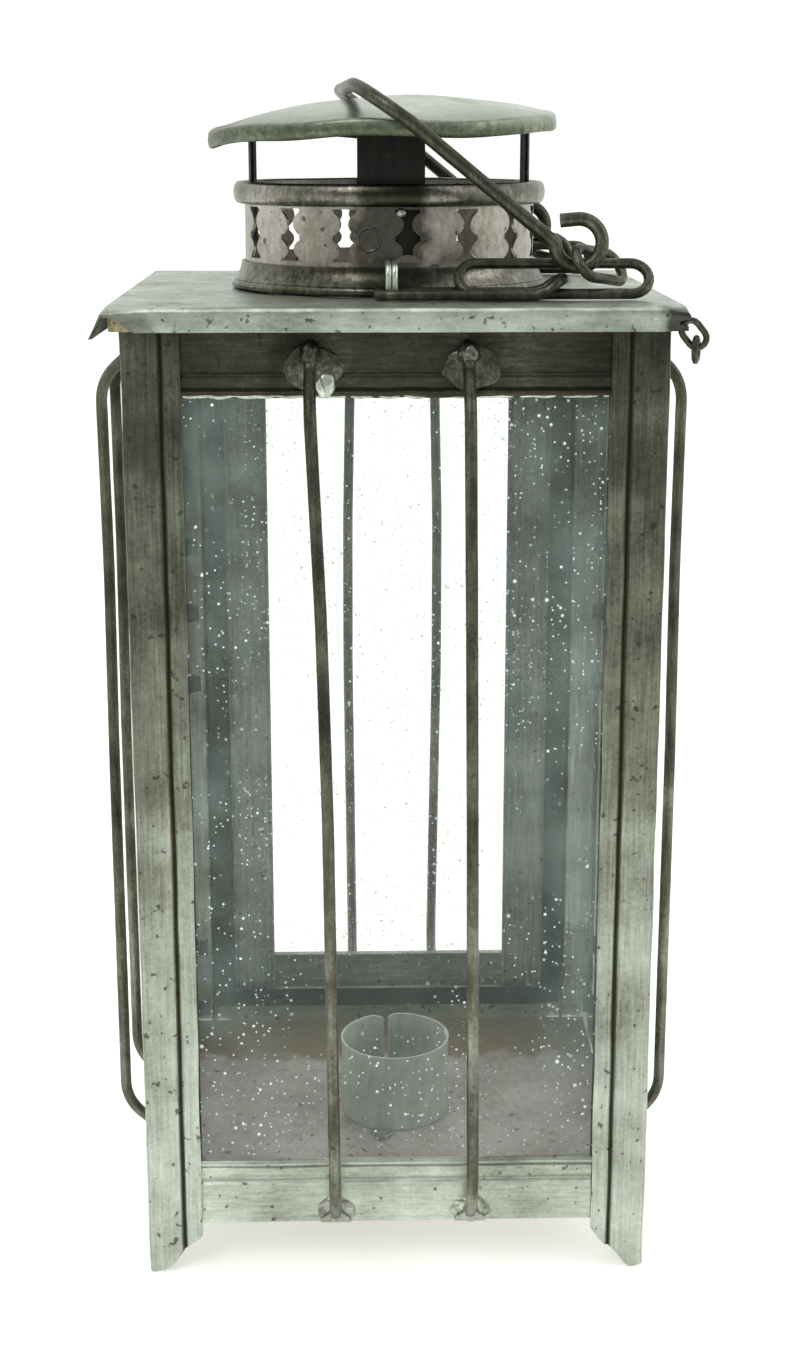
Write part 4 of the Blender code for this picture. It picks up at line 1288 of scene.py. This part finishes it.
# Chains and bail
# Each chain is a staple on the collar, two long links and a short one, bent from iron wire. The bail is one
# heavier wire whose feet are curled into open eyes; it leans on the cap.

LINK_WIRE = 0.0013
STAPLE_WIRE = 0.00075
STAPLE_Y = 0.0464
BAIL_WIRE = 0.0017
SKEW = -0.005
link_floor = roof_top + 0.0003 + LINK_WIRE


def oval(length, width):
    """Closed link outline with round ends, long axis along X, with points along its straight sides too."""
    radius = width / 2
    straight = length / 2 - radius
    steps = 14
    outline = []
    for start, centre in ((-90, straight), (90, -straight)):
        for step in range(steps + 1):
            angle = math.radians(start + 180 * step / steps)
            outline.append((centre + radius * math.cos(angle), radius * math.sin(angle)))
        for step in range(1, 12):
            x = centre - 2 * centre * step / 12
            outline.append((x, radius if start < 0 else -radius))
    return outline


def link_a(side):
    """Path of the long link that lies in the staple, with its far end lifted."""
    path = []
    for along, across in oval(0.045, 0.00825):
        lift = smooth((along - 0.0225 + 0.0064) / 0.0064)
        path.append(Vector((-0.004 + 0.0225 + along, side * (0.047 - across), link_floor + 0.00355 * lift)))
    return path


def link_b(side):
    """Path of the second long link, which leans on its edge."""
    path = []
    tilt = math.radians(52)
    for along, across in oval(0.0464, 0.0088):
        reach = across + 0.0044
        inward = 0.04755 - reach * math.cos(tilt)
        path.append(Vector((0.0156 + 0.0232 + along, side * inward, link_floor + reach * math.sin(tilt))))
    return path


def link_c(side):
    """Path of the short link between the second one and the bail's eye."""
    turn = Euler((math.radians(55.8), math.radians(7.5), math.radians(50.8))).to_matrix()
    path = []
    for along, across in oval(0.019, 0.008):
        point = turn @ Vector((along, across, 0))
        path.append(Vector((0.0499 + point.x, side * (0.04453 - point.y), 0.25968 + point.z)))
    return path


for label, side, shift in (("front", -1, 0.0), ("rear", 1, SKEW)):
    for number, (letter, route) in enumerate((("a", link_a(side)), ("b", link_b(side)), ("c", link_c(side)))):
        moved = [point + Vector((shift, 0, 0)) for point in route]
        wire(
            f"chain_link_{letter}_{label}_wire",
            moved,
            LINK_WIRE,
            chain_iron,
            f"chain_{letter}_{label}",
            f"chain_link_{letter}_{label}",
            closed_loop=True,
            seed=10.0 + number + side,
        )
    eye_x = -0.0007 + shift
    start = GALLERY_RADIUS + 0.0006
    top = roof_top + 0.0072 + 0.0013
    for strand, offset in enumerate((-STAPLE_WIRE, STAPLE_WIRE)):
        x = eye_x + offset
        route = [
            Vector((x, side * start, top)),
            Vector((x, side * STAPLE_Y, top)),
            Vector((x, side * STAPLE_Y, base)),
        ]
        stands = (f"chain_eye_{label}",) if strand == 0 else ()
        wire(
            f"chain_staple_{label}_{strand}",
            stepped(rounded(route, 0.003), 0.001),
            STAPLE_WIRE,
            solder,
            "lantern_body",
            *stands,
            seed=20.0 + strand,
        )

EYE_X, EYE_Z, EYE_RADIUS = 0.0443, 0.2651, 0.0057
BAIL_Y = 0.048
knee = (EYE_X - EYE_RADIUS, EYE_Z + 0.0040)
crown = (-0.009, 0.3021)
curl = []
for step in range(37):
    angle = math.radians(180 + 270 * step / 36)
    curl.append((EYE_X + EYE_RADIUS * math.cos(angle), EYE_Z + EYE_RADIUS * math.sin(angle)))
curl.append((EYE_X - 0.0045, EYE_Z + EYE_RADIUS - 0.0004))


def bail_point(side, point):
    """Point of the bail in its front or rear plane, with the skew between the two."""
    share = (side * BAIL_Y + BAIL_Y) / (2 * BAIL_Y)
    return Vector((point[0] + SKEW * share, side * BAIL_Y, point[1]))


arch = [bail_point(-1, knee), bail_point(-1, crown), bail_point(1, crown), bail_point(1, knee)]
bends = rounded(arch, 0.016, 16)[1:-1]
route = [bail_point(-1, point) for point in reversed(curl)] + bends + [bail_point(1, point) for point in curl]
wire(
    "bail_wire",
    stepped(route, 0.003),
    BAIL_WIRE,
    chain_iron,
    "bail",
    "bail_handle",
    seed=31.0,
    unevenness=0.07,
)

for name in ("corner_link_upper", "corner_link_lower"):
    dress(name, chain_iron)

# Rear door
# Two stiles and two rails folded from tinplate hold a narrower pane, hung on two leaf hinges with one wire
# pin. A small plate on a rivet turns across its edge, and four near-black strips of painted shade hide the
# gap round it from inside.

# Upright streaks as on the posts, a little darker, and darker upwards; the darker tones and the darkening are
# painted shade.
door_tin = tinned_iron(
    "door_tinplate",
    ("#26261E", "#484A3F", "#70736A", "#9BA096", "#C3C8BF"),
    (2.2, 2.2, 0.09),
    fade=0.2,
    mottle=0.6,
)
DOOR_FACE = 0.065
DOOR_FOLD = 0.003


def folded_strip(name, start, end, low, high, upright, finish):
    """Door member: a face with both edges folded inwards, running upright or across."""
    outline = []
    corner = 0.0007
    bends = ((start, 1), (end, -1))
    outline.append((start, -DOOR_FOLD))
    for step in range(5):
        angle = math.radians(180 - 90 * step / 4)
        outline.append((start + corner + corner * math.cos(angle), -corner + corner * math.sin(angle)))
    for step in range(1, 8):
        share = step / 8
        bulge = 0.0002 * math.sin(math.pi * share)
        outline.append((start + corner + (end - start - 2 * corner) * share, bulge))
    for step in range(5):
        angle = math.radians(90 - 90 * step / 4)
        outline.append((end - corner + corner * math.cos(angle), -corner + corner * math.sin(angle)))
    outline.append((end, -DOOR_FOLD))
    middle = (start + end) / 2
    outer, inner = [], []
    for row in range(41):
        run = low + (high - low) * row / 40
        front, back = [], []
        for across, out in outline:
            wave = dented((across, run, 7.0), 0.00018)
            lean = across - middle
            reach = max(abs(lean) - SHEET, 0.0)
            for grid, a, o in (
                (front, across, out),
                (back, middle + math.copysign(reach, lean), max(min(out, 0.0) - SHEET, -DOOR_FOLD)),
            ):
                spot = (a, DOOR_FACE + o + wave, run) if upright else (run, DOOR_FACE + o + wave, a)
                grid.append(Vector(spot))
        outer.append(front)
        inner.append(back)
    fit(f"{name}_folded", sheet_solid(name, outer, inner), finish, "door", "aged_tin", name)


for name in ("door_stile_hinge", "door_stile_latch"):
    low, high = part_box(name)
    folded_strip(name, low.x, high.x, low.z, high.z, True, door_tin)
# The same metal and painted shade, with its streaks lying level.
door_rail_tin = tinned_iron(
    "door_rail_tinplate",
    ("#26261E", "#484A3F", "#70736A", "#9BA096", "#C3C8BF"),
    (0.18, 2.0, 2.0),
    fade=0.2,
    mottle=0.6,
)
for name in ("door_rail_top", "door_rail_bottom"):
    low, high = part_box(name)
    folded_strip(name, low.z, high.z, low.x - 0.0006, high.x + 0.0006, False, door_rail_tin)
door_low, door_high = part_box("door_stile_hinge")
# Four near-black strips of painted shade stand in the gap round the door.
SHADE_STRIP_FACE = 0.0613
SHADE_STRIP_INNER, SHADE_STRIP_OUTER = 0.0488, 0.0550
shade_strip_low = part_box("rear_sill")[1].z
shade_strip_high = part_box("rear_header")[0].z
shade_strips = [
    (-SHADE_STRIP_OUTER, -SHADE_STRIP_INNER, shade_strip_low - 0.003, shade_strip_high + 0.003),
    (SHADE_STRIP_INNER, SHADE_STRIP_OUTER, shade_strip_low - 0.003, shade_strip_high + 0.003),
    (-SHADE_STRIP_OUTER, SHADE_STRIP_OUTER, shade_strip_low - 0.003, door_low.z + 0.0020),
    (-SHADE_STRIP_OUTER, SHADE_STRIP_OUTER, door_high.z - 0.0020, shade_strip_high + 0.003),
]
for number, (left, right, low, high) in enumerate(shade_strips):
    place = Matrix.Translation(((left + right) / 2, SHADE_STRIP_FACE - 0.0006 * (number > 1), (low + high) / 2))
    lip = closed(slab("door_rebate_lip", (right - left, 0.0005, high - low), place))
    fit(f"door_rebate_lip_{number}", lip, clip_tin, "lantern_body", "aged_tin")
heights = (door_high.z - 0.0016, door_high.z - 0.0060, door_low.z + 0.0060, door_low.z + 0.0016)
guard_bar("door_bar_left", "rear", 0.0110, 0.0115, 0.0010, 0.065, heights, "door", 8)
guard_bar("door_bar_right", "rear", -0.0145, -0.0140, -0.0012, 0.065, heights, "door", 9)
for name in ("door_leaf_lower", "door_leaf_upper", "post_leaf_lower", "post_leaf_upper", "turn_button"):
    dress(name, door_tin)
dress("hinge_pin", chain_iron)
dress("button_rivet", solder)

# Table and light
# A plain pale table under soft, even studio light, brighter behind the lantern than in front of it.

TABLE_BACK, TABLE_FRONT, TABLE_SIDE = 8, -4, 8
floor_mesh = bpy.data.meshes.new("table")
table_corners = [(-TABLE_SIDE, TABLE_FRONT, 0), (TABLE_SIDE, TABLE_FRONT, 0)]
table_corners += [(TABLE_SIDE, TABLE_BACK, 0), (-TABLE_SIDE, TABLE_BACK, 0)]
floor_mesh.from_pydata(table_corners, [], [(0, 1, 2, 3)])
table = bpy.data.objects.new("table", floor_mesh)
bpy.context.scene.collection.objects.link(table)
# White paper that glows a little, so that only a faint shadow shows on it.
paper = bpy.data.materials.new("white_studio_paper")
paper.use_nodes = True
paper_shader = paper.node_tree.nodes["Principled BSDF"]
paper_shader.inputs["Base Color"].default_value = srgb("#F6F8F3")
paper_shader.inputs["Roughness"].default_value = 0.9
paper_shader.inputs["Emission Color"].default_value = srgb("#FCFFFA")
paper_shader.inputs["Emission Strength"].default_value = 0.42
floor_mesh.materials.append(paper)

world = bpy.data.worlds.new("studio")
bpy.context.scene.world = world
world.use_nodes = True
sky = world.node_tree
back = sky.nodes["Background"]
facing = node(sky, "ShaderNodeTexCoord").outputs["Generated"]
parts = node(sky, "ShaderNodeSeparateXYZ", {0: facing})
glow = node(
    sky,
    "ShaderNodeMapRange",
    {"Value": parts.outputs["Y"], "From Min": -0.95, "From Max": 0.2, "To Min": 0.30, "To Max": 1.07},
    interpolation_type="SMOOTHSTEP",
)
sky.links.new(glow.outputs[0], back.inputs["Strength"])
back.inputs["Color"].default_value = srgb("#FCFFFA")


def soft_box(name, location, target, size, power):
    """Square lamp aimed at a target."""
    lamp = bpy.data.lights.new(name, "AREA")
    lamp.size = size
    lamp.energy = power
    holder = bpy.data.objects.new(name, lamp)
    holder.location = location
    holder.rotation_euler = (Vector(target) - Vector(location)).to_track_quat("-Z", "Y").to_euler()
    bpy.context.scene.collection.objects.link(holder)


soft_box("key_softbox", (-0.5, -0.9, 1.1), (0, 0, 0.15), 0.7, 5.0)
soft_box("fill_softbox", (1.1, -0.3, 0.7), (0, 0, 0.15), 0.8, 3.0)

camera = bpy.data.cameras.new("camera")
camera.lens = 55.6
camera.sensor_width = 36.0
holder = bpy.data.objects.new("camera", camera)
holder.location = (-0.0105, -0.559, 0.291)
holder.rotation_euler = (math.radians(75.4), 0.0, math.radians(-1.4))
bpy.context.scene.collection.objects.link(holder)
bpy.context.scene.camera = holder
bpy.context.scene.view_settings.view_transform = "Standard"
